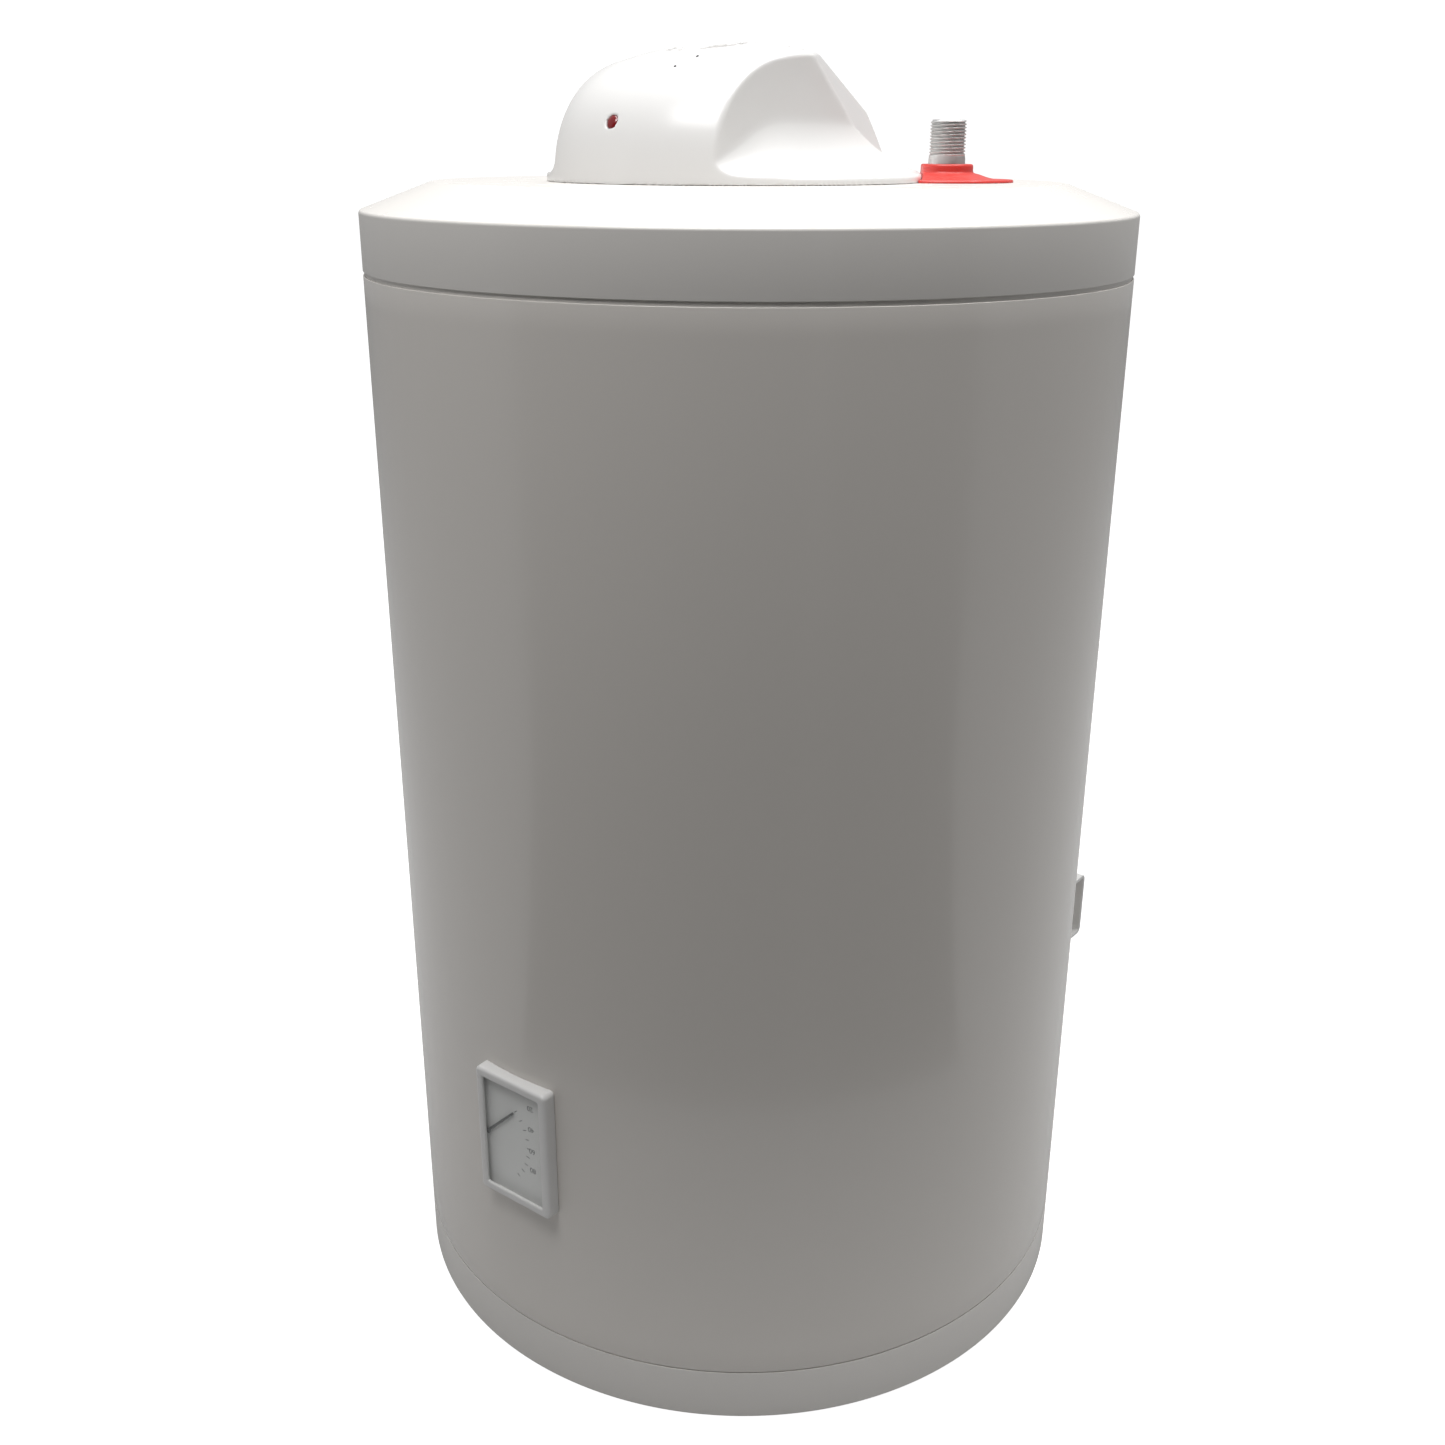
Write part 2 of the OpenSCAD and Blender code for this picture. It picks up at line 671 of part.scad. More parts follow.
module cord_clamp() {
  base_y = service_y + 84;
  color("ivory") difference() {
    union() {
      box([-14, base_y, plateau_z], [14, base_y + 12, plateau_z + cord_h - 0.8]);
      box([-14, base_y + 1, plateau_z + cord_h + 0.8], [14, base_y + 11, plateau_z + cord_h + 6]);
    }
    translate([0, 0, plateau_z + cord_h]) y_cylinder(cord_r + 0.1, base_y - 1, base_y + 13);
    for (side = [-1, 1]) translate([side * 9, base_y + 6, plateau_z - 1]) cylinder(r = 1.7, h = 40);
  }
}

module cord_clamp_screws() {
  color("silver") for (side = [-1, 1]) translate([side * 9, service_y + 90, 0]) {
    translate([0, 0, inner_z - 4]) cylinder(r = 1.5, h = cord_h + 14);
    translate([0, 0, plateau_z + cord_h + 6]) cylinder(r = 3.2, h = 2);
  }
}

module cable_gland() {
  wall_y_out = service_y + cover_r - 0.8;
  color("dimgray") translate([0, 0, plateau_z + cord_h]) difference() {
    union() {
      y_cylinder(gland_r, wall_y_out - 7, wall_y_out + 3);
      y_cylinder(gland_r + 2, wall_y_out + 1.2, wall_y_out + 2.7);
      y_cylinder(gland_r + 1.2, wall_y_out - 7, wall_y_out - 5.4);
      y_cylinder(gland_r - 1.4, wall_y_out + 2, wall_y_out + 12);
    }
    y_cylinder(gland_bore_r, wall_y_out - 10, wall_y_out + 20);
  }
}

// ---- indicator lamp ----

// the lamp stands square to the cover's round shoulder
module at_lamp() {
  translate([0, service_y, plateau_z + knuckle_h]) rotate([0, 0, -lamp_turn])
    translate([0, -knuckle_x, 0]) rotate([-lamp_tilt, 0, 0]) children();
}

module lamp_lens() {
  color("darkred") at_lamp() {
    y_cylinder(lamp_r, -knuckle_r - 0.5, lamp_flange_y);
    y_cylinder(lamp_r + 1.4, lamp_flange_y, lamp_flange_y + 1.4);
  }
}

module lamp_body() {
  color("ivory") at_lamp() y_cylinder(5, lamp_flange_y + 1.4, lamp_flange_y + 1.4 + lamp_length);
}

module lamp_leads() {
  out = lamp_flange_y + 1.4 + lamp_length;
  color("dimgray") for (side = [-1, 1])
    wire([from_lamp([side * 2.2, out + 0.1, 0]), from_lamp([side * 2.2, out + 12, 0]),
      from_knob([22 + side * 3, -26, deck_high + 2]), from_knob([22 + side * 3, -20, deck_high + 5]),
      from_knob([22 + side * 3, -15, deck_high + 5])], 0.8);
}

// ---- terminal cover ----

// half outline of the cover's round: upright foot, shoulder arc, crown arc
function arc_point(centre, r, a) = centre + r * [cos(a), sin(a)];
function cover_outline(inset) = concat([[0, 0], [cover_r - inset, 0]],
  [for (a = [0 : 6 : 66]) arc_point([knuckle_x, knuckle_h], knuckle_r - inset, a)],
  [for (i = [4 : -1 : 1]) arc_point([0, cover_h - crown_r], crown_r - inset, 90 - crown_tilt * i / 4)],
  [[0, cover_h - inset]]);

module cover_round(inset) {
  rotate_extrude() polygon(cover_outline(inset));
}

// everything below the line between side wall and bevel, which falls towards the back
module below_bevel(inset) {
  translate([0, 0, bevel_start_h - inset]) rotate([-bevel_angle, 0, 0])
    box([-cover_r - 9, -300, -400], [cover_r + 9, 400, 0]);
}

// concave run from a side wall out to the low rim, its radius growing from r0 at y0 to r1 at y1:
// a wedge less a cone that touches the wall line and the floor line
module flare(side, inset, y0, r0, y1, r1) {
  wall_x = cover_side_x - 1.5;
  floor_h = skirt_h - 0.3;
  early = 15;                         // the cutting cone reaches past both ends of the wedge
  late = 45;
  grow = (r1 - r0) / (y1 - y0);
  stretch = sqrt(1 + 2 * grow * grow);
  open = sqrt(1 + grow * grow) / stretch;
  axis_length = (y1 - y0) * stretch;
  difference() {
    intersection() {
      translate([0, 0, -1]) linear_extrude(height = 120)
        polygon([[side - 1, y0], [wall_x + r0, y0], [wall_x + r1, y1], [side - 1, y1]]);
      rotate([90, 0, 90]) linear_extrude(height = 200)
        polygon([[y0, -1], [y1, -1], [y1, floor_h + r1], [y0, floor_h + r0]]);
    }
    translate([wall_x + r0, y0, floor_h + r0]) rotate([0, acos(grow / stretch), atan2(1, grow)])
      translate([0, 0, -early]) cylinder(h = axis_length + early + late,
        r1 = (r0 - early * grow / stretch + inset) / open,
        r2 = (r0 + (axis_length + late) * grow / stretch + inset) / open);
  }
}

module cover_form(inset) {
  side = cover_side_x - inset;
  far = cover_r + 5;
  intersection() {
    cover_round(inset);
    union() {
      // middle, between the side walls, with a long bevel on each side and a gently falling back
      intersection() {
        translate([0, 0, bevel_start_h - inset]) rotate([-bevel_angle, 0, 0])
          rotate([90, 0, 0]) translate([0, 0, -250]) linear_extrude(height = 500)
            polygon([[-side, -300], [side, -300], [side, 0], [side - bevel_in, bevel_up],
              [bevel_in - side, bevel_up], [-side, 0]]);
        translate([0, back_start_y, cover_h - inset]) rotate([-back_fall, 0, 0])
          box([-far, -100, -400], [far, 400, 0]);
        box([-far, -far, -1], [far, far, cover_h + 5]);
      }
      // hollow at each side
      for (half = [0, 1]) mirror([half, 0, 0]) intersection() {
        union() {
          flare(side, inset, flare_front_y, flare_front_r, flare_turn_y, scoop_r);
          flare(side, inset, flare_turn_y, scoop_r, far, scoop_r);
        }
        below_bevel(inset);
      }
      // low rim all round
      box([-far, -far, -1], [far, far, skirt_h - inset]);
    }
  }
}

module terminal_cover() {
  floor_z = -recess_depth;
  color("white") difference() {
    union() {
      difference() {
        translate([0, service_y, plateau_z]) cover_form(0);
        translate([0, service_y, plateau_z]) cover_form(cover_t);
      }
      intersection() {
        translate([0, service_y, plateau_z]) cover_form(0);
        union() {
          on_knob_axis() translate([0, 0, floor_z - cover_t]) cylinder(r = knob_recess_r + 2, h = 40);
          for (s = [-1, 1])
            translate([s * cover_screw_x, service_y, plateau_z]) cylinder(r = 8.5, h = 10);
        }
      }
    }
    on_knob_axis() {
      translate([0, 0, floor_z]) cylinder(r = knob_recess_r, h = 40);
      translate([0, 0, floor_z - 10]) cylinder(r = hub_r + 0.4, h = 20);
    }
    at_lamp() y_cylinder(lamp_r + 0.1, -knuckle_r - 8, lamp_flange_y + 5);
    translate([0, 0, plateau_z + cord_h]) y_cylinder(gland_r + 0.1, 70, service_y + cover_r + 5);
    for (s = [-1, 1]) translate([s * cover_screw_x, service_y, plateau_z]) {
      translate([0, 0, -1]) cylinder(r = 2.1, h = 10);
      translate([0, 0, 1.8]) cylinder(r = 4.2, h = 10);
    }
  }
}

module cover_screws() {
  color("gray") for (s = [-1, 1]) translate([s * cover_screw_x, service_y, plateau_z]) difference() {
    union() {
      translate([0, 0, -14]) cylinder(r = 1.9, h = 16);
      translate([0, 0, 1.8]) cylinder(r = 3.8, h = 1.9);
    }
    box([-2.6, -0.45, 2.9], [2.6, 0.45, 6]);
    box([-0.45, -2.6, 2.9], [0.45, 2.6, 6]);
  }
}

// ---- pipes ----

module water_pipe(low_z) {
  difference() {
    union() {
      translate([0, 0, low_z]) cylinder(r = pipe_r, h = pipe_top_z - thread_length - 1 - low_z);
      translate([0, 0, pipe_top_z - thread_length - 2]) cylinder(r = thread_r, h = thread_length + 1);
      translate([0, 0, pipe_top_z - 1]) cylinder(r1 = thread_r, r2 = thread_r - 0.9, h = 1);
    }
    translate([0, 0, low_z - 1]) cylinder(r = pipe_bore_r, h = pipe_top_z - low_z + 2);
  }
}

module cold_inlet_pipe() {
  color("silver") translate([-pipe_x, pipe_y, 0]) water_pipe(pipe_low_z);
}

module hot_outlet_pipe() {
  color("silver") translate([pipe_x, pipe_y, 0]) water_pipe(standpipe_low_z);
}

module pipe_ring(side) {
  difference() {
    translate([side * pipe_x, pipe_y, plateau_z]) union() {
      cylinder(r = ring_r, h = 1.6);
      translate([0, 0, 1.5]) cylinder(r1 = 27, r2 = 17.5, h = 3.5);
      cylinder(r = ring_hub_r, h = ring_hub_h);
      translate([0, 0, -cap_t - 0.1]) cylinder(r = 13.7, h = 4);
    }
    translate([side * pipe_x, pipe_y, inner_z - 5]) cylinder(r = pipe_r + gap, h = 40);
    translate([0, service_y, plateau_z - 0.01]) cylinder(r = cover_r + gap, h = 40);
  }
}

module cold_ring() {
  color("mediumblue") pipe_ring(-1);
}

module hot_ring() {
  color("red") pipe_ring(1);
}

module inlet_diffuser() {
  diffuser_r = 26;
  color("white") translate([-pipe_x, pipe_y, pipe_low_z - 22]) difference() {
    union() {
      cylinder(r = diffuser_r, h = 3);
      cylinder(r = pipe_r + 2.4, h = 34);
    }
    translate([0, 0, 22]) cylinder(r = pipe_r + 0.1, h = 20);
    translate([0, 0, 3]) cylinder(r = pipe_bore_r, h = 30);
    for (turn = [0 : 60 : 150]) rotate([0, 0, turn]) translate([0, 0, 12]) y_cylinder(4.5, -30, 30);
  }
}

module pipe_seals() {
  color("dimgray") at_pipes() tube(seal_r, pipe_r + 0.1, foam_top_z + 0.2, inner_z - 0.2);
}

// ---- wall bracket ----

module wall_bracket() {
  slot_half = slot_length / 2 - slot_r;
  color("gainsboro") translate([0, 0, bracket_z]) difference() {
    union() {
      box([-bracket_w / 2, bracket_in_y, -bracket_h / 2], [bracket_w / 2, wall_y, bracket_h / 2]);
      for (end = [0, 1]) mirror([0, 0, end]) difference() {
        box([-bracket_w / 2, bracket_in_y - lip_depth, bracket_h / 2 - bracket_t],
          [bracket_w / 2, bracket_in_y + 0.5, bracket_h / 2]);
        translate([0, 0, -bracket_h]) cylinder(r = body_r + 0.5, h = 2 * bracket_h);
      }
      for (side = [-1, 1])
        translate([side * arm_x, 0, 0]) y_cylinder(dimple_r + bracket_t, arm_end_y, bracket_in_y + 1);
    }
    for (side = [-1, 1]) {
      translate([side * arm_x, 0, 0]) y_cylinder(dimple_r, wall_y - dimple_depth, wall_y + 1);
      translate([side * arm_x, 0, 0]) y_cylinder(bracket_bolt_r + 0.4, arm_end_y - 1, wall_y + 1);
      translate([side * slot_spacing / 2, 0, 0]) {
        for (tip = [-1, 1])
          translate([tip * slot_half, 0, 0]) y_cylinder(slot_r, bracket_in_y - 1, wall_y + 1);
        box([-slot_half, bracket_in_y - 1, -slot_r], [slot_half, wall_y + 1, slot_r]);
      }
    }
  }
}

module hanger_arms() {
  color("silver") for (side = [-1, 1]) difference() {
    translate([side * arm_x, 0, bracket_z]) y_cylinder(arm_r, tank_r * 0.8, arm_end_y);
    translate([0, 0, bracket_z - 30]) cylinder(r = tank_r + 0.05, h = 60);
    translate([side * arm_x, 0, bracket_z])
      y_cylinder(bracket_bolt_r + 0.05, arm_end_y - 20, arm_end_y + 1);
  }
}

module bracket_bolts() {
  color("gray") for (side = [-1, 1]) translate([side * arm_x, 0, bracket_z]) {
    y_cylinder(bracket_bolt_r, arm_end_y - 16, arm_end_y + bracket_t + 1);
    translate([0, arm_end_y + bracket_t, 0]) rotate([-90, 0, 0]) cylinder(r = 7.5, h = 5.3, $fn = 6);
  }
}

// ---- thermometer ----

module thermometer_bezel() {
  half_w = bezel_w / 2;
  half_h = bezel_h / 2;
  edge = 1.6;
  color("white") translate([0, 0, dial_z]) difference() {
    union() {
      box([-half_w, bezel_y + edge, -half_h], [half_w, -body_r + 6, half_h]);
      box([-half_w + edge, bezel_y, -half_h + edge], [half_w - edge, bezel_y + 2 * edge, half_h - edge]);
    }
    box([-window_w / 2, bezel_y - 1, -window_h / 2], [window_w / 2, bezel_y + 9, window_h / 2]);
    box([-pocket_half_w, window_y, -pocket_half_h], [pocket_half_w, -body_r + 8, pocket_half_h]);
    translate([0, 0, -60]) cylinder(r = body_r + 0.05, h = 120);
  }
}

module thermometer_window() {
  color("lightcyan", 0.4) translate([0, 0, dial_z])
    box([0.1 - pocket_half_w, window_y, 0.1 - pocket_half_h],
      [pocket_half_w - 0.1, window_y + window_t, pocket_half_h - 0.1]);
}

module thermometer_dial() {
  color("white") difference() {
    translate([0, 0, dial_z]) box([0.1 - pocket_half_w, dial_face_y, 0.1 - pocket_half_h],
      [pocket_half_w - 0.1, dial_face_y + dial_t, pocket_half_h - 0.1]);
    translate([pivot_x, 0, pivot_z]) y_cylinder(spindle_r + 0.5, dial_face_y - 1, dial_face_y + 3);
  }
}

module thermometer_pointer() {
  root_r = 1.9;
  color("dimgray") translate([pivot_x, pointer_y, pivot_z]) {
    y_cylinder(root_r, 0, pointer_t);
    rotate([0, -pointer_cold, 0]) rotate([-90, 0, 0]) linear_extrude(height = pointer_t)
      polygon([[1, -1.1], [pointer_length, -0.7], [pointer_length, 0.7], [1, 1.1]]);
  }
}

module pointer_spindle() {
  color("silver") translate([pivot_x, 0, pivot_z]) {
    y_cylinder(spindle_r, pointer_y + pointer_t, stem_end_y - 3);
  }
}

// a helix of bimetal around the spindle, inside the stem
module bimetal_coil() {
  low_y = -(body_r - 1);
  high_y = stem_end_y - 2;
  steps = 10;
  count = coil_turns * steps;
  turn = 360 / steps;
  color("goldenrod") translate([pivot_x, 0, pivot_z]) wire([for (i = [0 : count])
    [coil_r * cos(i * turn), low_y + (high_y - low_y) * i / count, coil_r * sin(i * turn)]],
    coil_wire_r, first_up = [1, 0, 0], steps = 1, sides = 6);
}

module thermometer_stem() {
  color("silver") translate([pivot_x, 0, pivot_z]) difference() {
    y_cylinder(stem_r, dial_face_y + dial_t, stem_end_y);
    y_cylinder(stem_bore_r, dial_face_y - 1, stem_end_y - 1);
  }
}

outer_jacket();
service_end_cap();
closed_end_cap();
foam_sleeve();
foam_service_end();
foam_closed_end();
tank_shell();
tank_service_end();
tank_closed_end();
flange_neck();
flange_gasket();
flange_plate();
flange_studs();
flange_nuts();
heating_element_left();
heating_element_right();
anode_rod();
anode_nut();
sensor_pocket();
sensor_bulbs();
capillary_tubes();
thermostat_bracket();
thermostat_body();
thermostat_shaft();
thermostat_knob();
cutout_body();
reset_button();
terminal_block();
terminal_screws();
earth_screw();
live_wires();
neutral_wires();
earth_wire();
cord_clamp();
cord_clamp_screws();
cable_gland();
lamp_lens();
lamp_body();
lamp_leads();
terminal_cover();
cover_screws();
cold_inlet_pipe();
hot_outlet_pipe();
cold_ring();
hot_ring();
inlet_diffuser();
pipe_seals();
wall_bracket();
hanger_arms();
bracket_bolts();
thermometer_bezel();
thermometer_window();
thermometer_dial();
thermometer_pointer();
pointer_spindle();
bimetal_coil();
thermometer_stem();
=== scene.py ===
import json
import math

import bmesh
import bpy
import numpy as np
from mathutils import Matrix, Vector


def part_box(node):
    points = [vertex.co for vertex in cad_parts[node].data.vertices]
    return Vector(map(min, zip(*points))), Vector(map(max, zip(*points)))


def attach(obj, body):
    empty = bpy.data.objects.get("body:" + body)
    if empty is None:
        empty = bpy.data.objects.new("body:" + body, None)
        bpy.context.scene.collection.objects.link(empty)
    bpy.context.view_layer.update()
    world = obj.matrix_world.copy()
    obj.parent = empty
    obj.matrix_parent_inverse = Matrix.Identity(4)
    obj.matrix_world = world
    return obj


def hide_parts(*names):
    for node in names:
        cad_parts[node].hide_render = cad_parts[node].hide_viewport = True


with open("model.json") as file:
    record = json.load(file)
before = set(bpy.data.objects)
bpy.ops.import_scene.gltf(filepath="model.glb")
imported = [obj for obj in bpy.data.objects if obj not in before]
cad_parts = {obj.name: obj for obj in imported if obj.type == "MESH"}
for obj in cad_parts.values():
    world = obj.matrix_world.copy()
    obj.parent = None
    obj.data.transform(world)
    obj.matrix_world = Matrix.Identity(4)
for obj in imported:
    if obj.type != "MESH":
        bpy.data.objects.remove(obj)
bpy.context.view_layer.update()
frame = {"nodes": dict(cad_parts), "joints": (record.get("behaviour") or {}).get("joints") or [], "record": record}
record = frame["record"]
mm = 0.001

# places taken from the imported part, in millimetres


def boxOf(node):
    low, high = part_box(node)
    return np.array(low) / mm, np.array(high) / mm


def jointNamed(name):
    return next(j for j in frame["joints"] if j["name"] == name)


jacketLow, jacketHigh = boxOf("outer_jacket")
capLow, capHigh = boxOf("service_end_cap")
footLow, footHigh = boxOf("closed_end_cap")
coverLow, coverHigh = boxOf("terminal_cover")
bezelLow, bezelHigh = boxOf("thermometer_bezel")
dialLow = boxOf("thermometer_dial")[0]
bracketLow, bracketHigh = boxOf("wall_bracket")
bodyR = jacketHigh[0]
coverR = (coverHigh[0] - coverLow[0]) / 2
coverMid = (coverLow + coverHigh) / 2
plateauZ = coverLow[2]
knobJoint = jointNamed("thermostat_turn")
pointerJoint = jointNamed("pointer_swing")


def jointPlace(joint):
    return Vector(joint["pos_m"]) / mm, Vector(joint["axis"]).normalized()


# small mesh helpers


def addObject(name, mesh, material=None):
    ob = bpy.data.objects.new(name, mesh)
    bpy.context.scene.collection.objects.link(ob)
    if material is not None:
        mesh.materials.clear()
        mesh.materials.append(material)
    return ob


def meshFrom(name, points, faces):
    mesh = bpy.data.meshes.new(name)
    mesh.from_pydata([tuple(p) for p in points], [], [tuple(f) for f in faces])
    mesh.validate()
    return mesh


def faceOutward(mesh, weld=0.00001):
    bm = bmesh.new()
    bm.from_mesh(mesh)
    if weld:
        bmesh.ops.remove_doubles(bm, verts=bm.verts, dist=weld)
    loose = [v for v in bm.verts if not v.link_faces]
    bmesh.ops.delete(bm, geom=loose, context="VERTS")
    if bm.calc_volume(signed=True) < 0:
        bmesh.ops.reverse_faces(bm, faces=bm.faces)
    bm.to_mesh(mesh)
    bm.free()


def shadeSmooth(mesh, angle=32):
    mesh.polygons.foreach_set("use_smooth", [True] * len(mesh.polygons))
    mesh.set_sharp_from_angle(angle=math.radians(angle))
    mesh.update()


def applied(ob):
    # swaps an object's mesh for what its modifiers make, and drops the modifiers
    bpy.context.view_layer.update()
    graph = bpy.context.evaluated_depsgraph_get()
    mesh = bpy.data.meshes.new_from_object(ob.evaluated_get(graph), preserve_all_data_layers=True,
                                           depsgraph=graph)
    ob.modifiers.clear()
    old = ob.data
    ob.data = mesh
    mesh.name = ob.name
    if old.users == 0:
        bpy.data.meshes.remove(old)
    return ob


def cutBy(ob, cutters, operation="DIFFERENCE"):
    for cutter in cutters:
        step = ob.modifiers.new("cut", "BOOLEAN")
        step.operation = operation
        step.solver = "EXACT"
        step.object = cutter
    applied(ob)
    for cutter in cutters:
        bpy.data.objects.remove(cutter)
    return ob


def rod(name, radius, length, centre, axis=(0, 0, 1), sides=96):
    # a plain round cutter, used only to take material away
    bm = bmesh.new()
    turn = Vector((0, 0, 1)).rotation_difference(Vector(axis)).to_matrix().to_4x4()
    bmesh.ops.create_cone(bm, cap_ends=True, segments=sides, radius1=radius * mm, radius2=radius * mm,
                          depth=length * mm, matrix=Matrix.Translation(Vector(centre) * mm) @ turn)
    mesh = bpy.data.meshes.new(name)
    bm.to_mesh(mesh)
    bm.free()
    return addObject(name, mesh)


def give(ob, body, slot, *nodes):
    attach(ob, body)
    if nodes:
        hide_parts(*nodes)
    return ob


# rounded shapes from distance fields


def softMin(a, b, k):
    h = np.maximum(k - np.abs(a - b), 0) / k
    return np.minimum(a, b) - h * h * k / 4


def softMax(a, b, k):
    return -softMin(-a, -b, k)


def boxField(p, low, high, r=0.0):
    mid, half = (np.array(low) + np.array(high)) / 2, (np.array(high) - np.array(low)) / 2 - r
    q = np.abs(p - mid) - half
    return np.linalg.norm(np.maximum(q, 0), axis=-1) + np.minimum(q.max(-1), 0) - r


def rodField(p, centre, axis, radius, low=None, high=None, k=0.01):
    axis = np.array(axis, float) / np.linalg.norm(axis)
    rel = p - np.array(centre)
    along = rel @ axis
    d = np.linalg.norm(rel - along[..., None] * axis, axis=-1) - radius
    if low is not None:
        d = softMax(d, low - along, k)
    if high is not None:
        d = softMax(d, along - high, k)
    return d


def netSurface(field, low, high, step):
    # one vertex in each cell that the surface crosses, pulled on to the surface afterwards
    low, high = np.array(low, float) - 2 * step, np.array(high, float) + 2 * step
    count = np.ceil((high - low) / step).astype(int) + 1
    ax = [low[i] + step * np.arange(count[i]) for i in range(3)]
    value = np.empty(count)
    for i in range(count[0]):
        plane = np.stack(np.meshgrid([ax[0][i]], ax[1], ax[2], indexing="ij"), -1)
        value[i] = field(plane.reshape(-1, 3)).reshape(count[1], count[2])
    inside = value < 0
    cells = tuple(count - 1)
    total = np.zeros(cells, int)
    for dx in (0, 1):
        for dy in (0, 1):
            for dz in (0, 1):
                total += inside[dx:cells[0] + dx, dy:cells[1] + dy, dz:cells[2] + dz]
    crossed = (total > 0) & (total < 8)
    where = np.argwhere(crossed)
    number = np.full(cells, -1)
    number[crossed] = np.arange(len(where))
    place, hits = np.zeros((len(where), 3)), np.zeros(len(where))
    for axis in range(3):
        others = [a for a in range(3) if a != axis]
        for u in (0, 1):
            for v in (0, 1):
                a = where.copy()
                a[:, others[0]] += u
                a[:, others[1]] += v
                b = a.copy()
                b[:, axis] += 1
                va, vb = value[tuple(a.T)], value[tuple(b.T)]
                hit = (va < 0) != (vb < 0)
                t = np.where(hit, va / np.where(hit, va - vb, 1), 0)
                point = a.astype(float)
                point[:, axis] += t
                place += point * hit[:, None]
                hits += hit
    points = low + step * place / hits[:, None]
    faces = []
    for axis in range(3):
        u, v = [(1, 2), (2, 0), (0, 1)][axis]
        first = [slice(None)] * 3
        second = [slice(None)] * 3
        first[axis], second[axis] = slice(0, -1), slice(1, None)
        a, b = inside[tuple(first)], inside[tuple(second)]
        edge = np.argwhere(a != b)
        edge = edge[(edge[:, u] > 0) & (edge[:, v] > 0) & (edge[:, u] < cells[u]) & (edge[:, v] < cells[v])]
        flip = b[tuple(edge.T)]
        quad = []
        for du, dv in ((-1, -1), (0, -1), (0, 0), (-1, 0)):
            c = edge.copy()
            c[:, u] += du
            c[:, v] += dv
            quad.append(number[tuple(c.T)])
        quad = np.stack(quad, 1)
        quad[flip] = quad[flip][:, ::-1]
        faces.append(quad)
    faces = np.vstack(faces)
    eps = step * 0.05
    for _ in range(5):
        f = field(points)
        slope = np.stack([(field(points + eps * e) - field(points - eps * e)) / (2 * eps)
                          for e in np.eye(3)], -1)
        size = np.maximum((slope ** 2).sum(-1), 0.2)
        move = (f / size)[:, None] * slope
        length = np.linalg.norm(move, axis=1)
        move *= np.minimum(1, 0.5 * step / np.maximum(length, 1e-9))[:, None]
        points = points - 0.8 * move
    return points, faces


def fieldObject(name, field, low, high, step, material, place=None, angle=50):
    points, faces = netSurface(field, low, high, step)
    if place is not None:
        spin = np.array(place.to_3x3())
        points = points @ spin.T + np.array(place.translation)
    ob = addObject(name, meshFrom(name, points * mm, faces), material)
    faceOutward(ob.data, weld=0)
    shadeSmooth(ob.data, angle)
    print(f"  {name}: {len(faces) * 2} triangles")
    return ob


# node helpers


def newTree(name, kind):
    tree = bpy.data.node_groups.new(name, kind)
    return tree


def socket(tree, name, kind, way="INPUT", default=None, low=None, high=None):
    s = tree.interface.new_socket(name=name, in_out=way, socket_type=kind)
    if default is not None:
        s.default_value = default
    if low is not None:
        s.min_value = low
    if high is not None:
        s.max_value = high
    return s


class Wires:
    # a short way to add nodes and join them up
    def __init__(self, tree):
        self.tree = tree

    def add(self, kind, **settings):
        node = self.tree.nodes.new(kind)
        for key, value in settings.items():
            setattr(node, key, value)
        return node

    def link(self, out, into):
        self.tree.links.new(out, into)

    def feed(self, socketIn, value):
        if isinstance(value, bpy.types.NodeSocket):
            self.link(value, socketIn)
        else:
            socketIn.default_value = value

    def math(self, operation, a, b=None, c=None, kind="ShaderNodeMath", clamp=False):
        node = self.add(kind, operation=operation)
        if clamp:
            node.use_clamp = True
        for i, value in enumerate((a, b, c)):
            if value is not None:
                self.feed(node.inputs[i], value)
        return node.outputs[0]

    def mixColor(self, factor, a, b, blend="MIX"):
        node = self.add("ShaderNodeMix", data_type="RGBA", blend_type=blend)
        self.feed(node.inputs[0], factor)
        self.feed(node.inputs[6], a)
        self.feed(node.inputs[7], b)
        return node.outputs[2]

    def ramp(self, factor, low, high):
        node = self.add("ShaderNodeMapRange")
        self.feed(node.inputs["Value"], factor)
        node.inputs["From Min"].default_value = low
        node.inputs["From Max"].default_value = high
        return node.outputs["Result"]


# shared shader groups

print("shader groups")


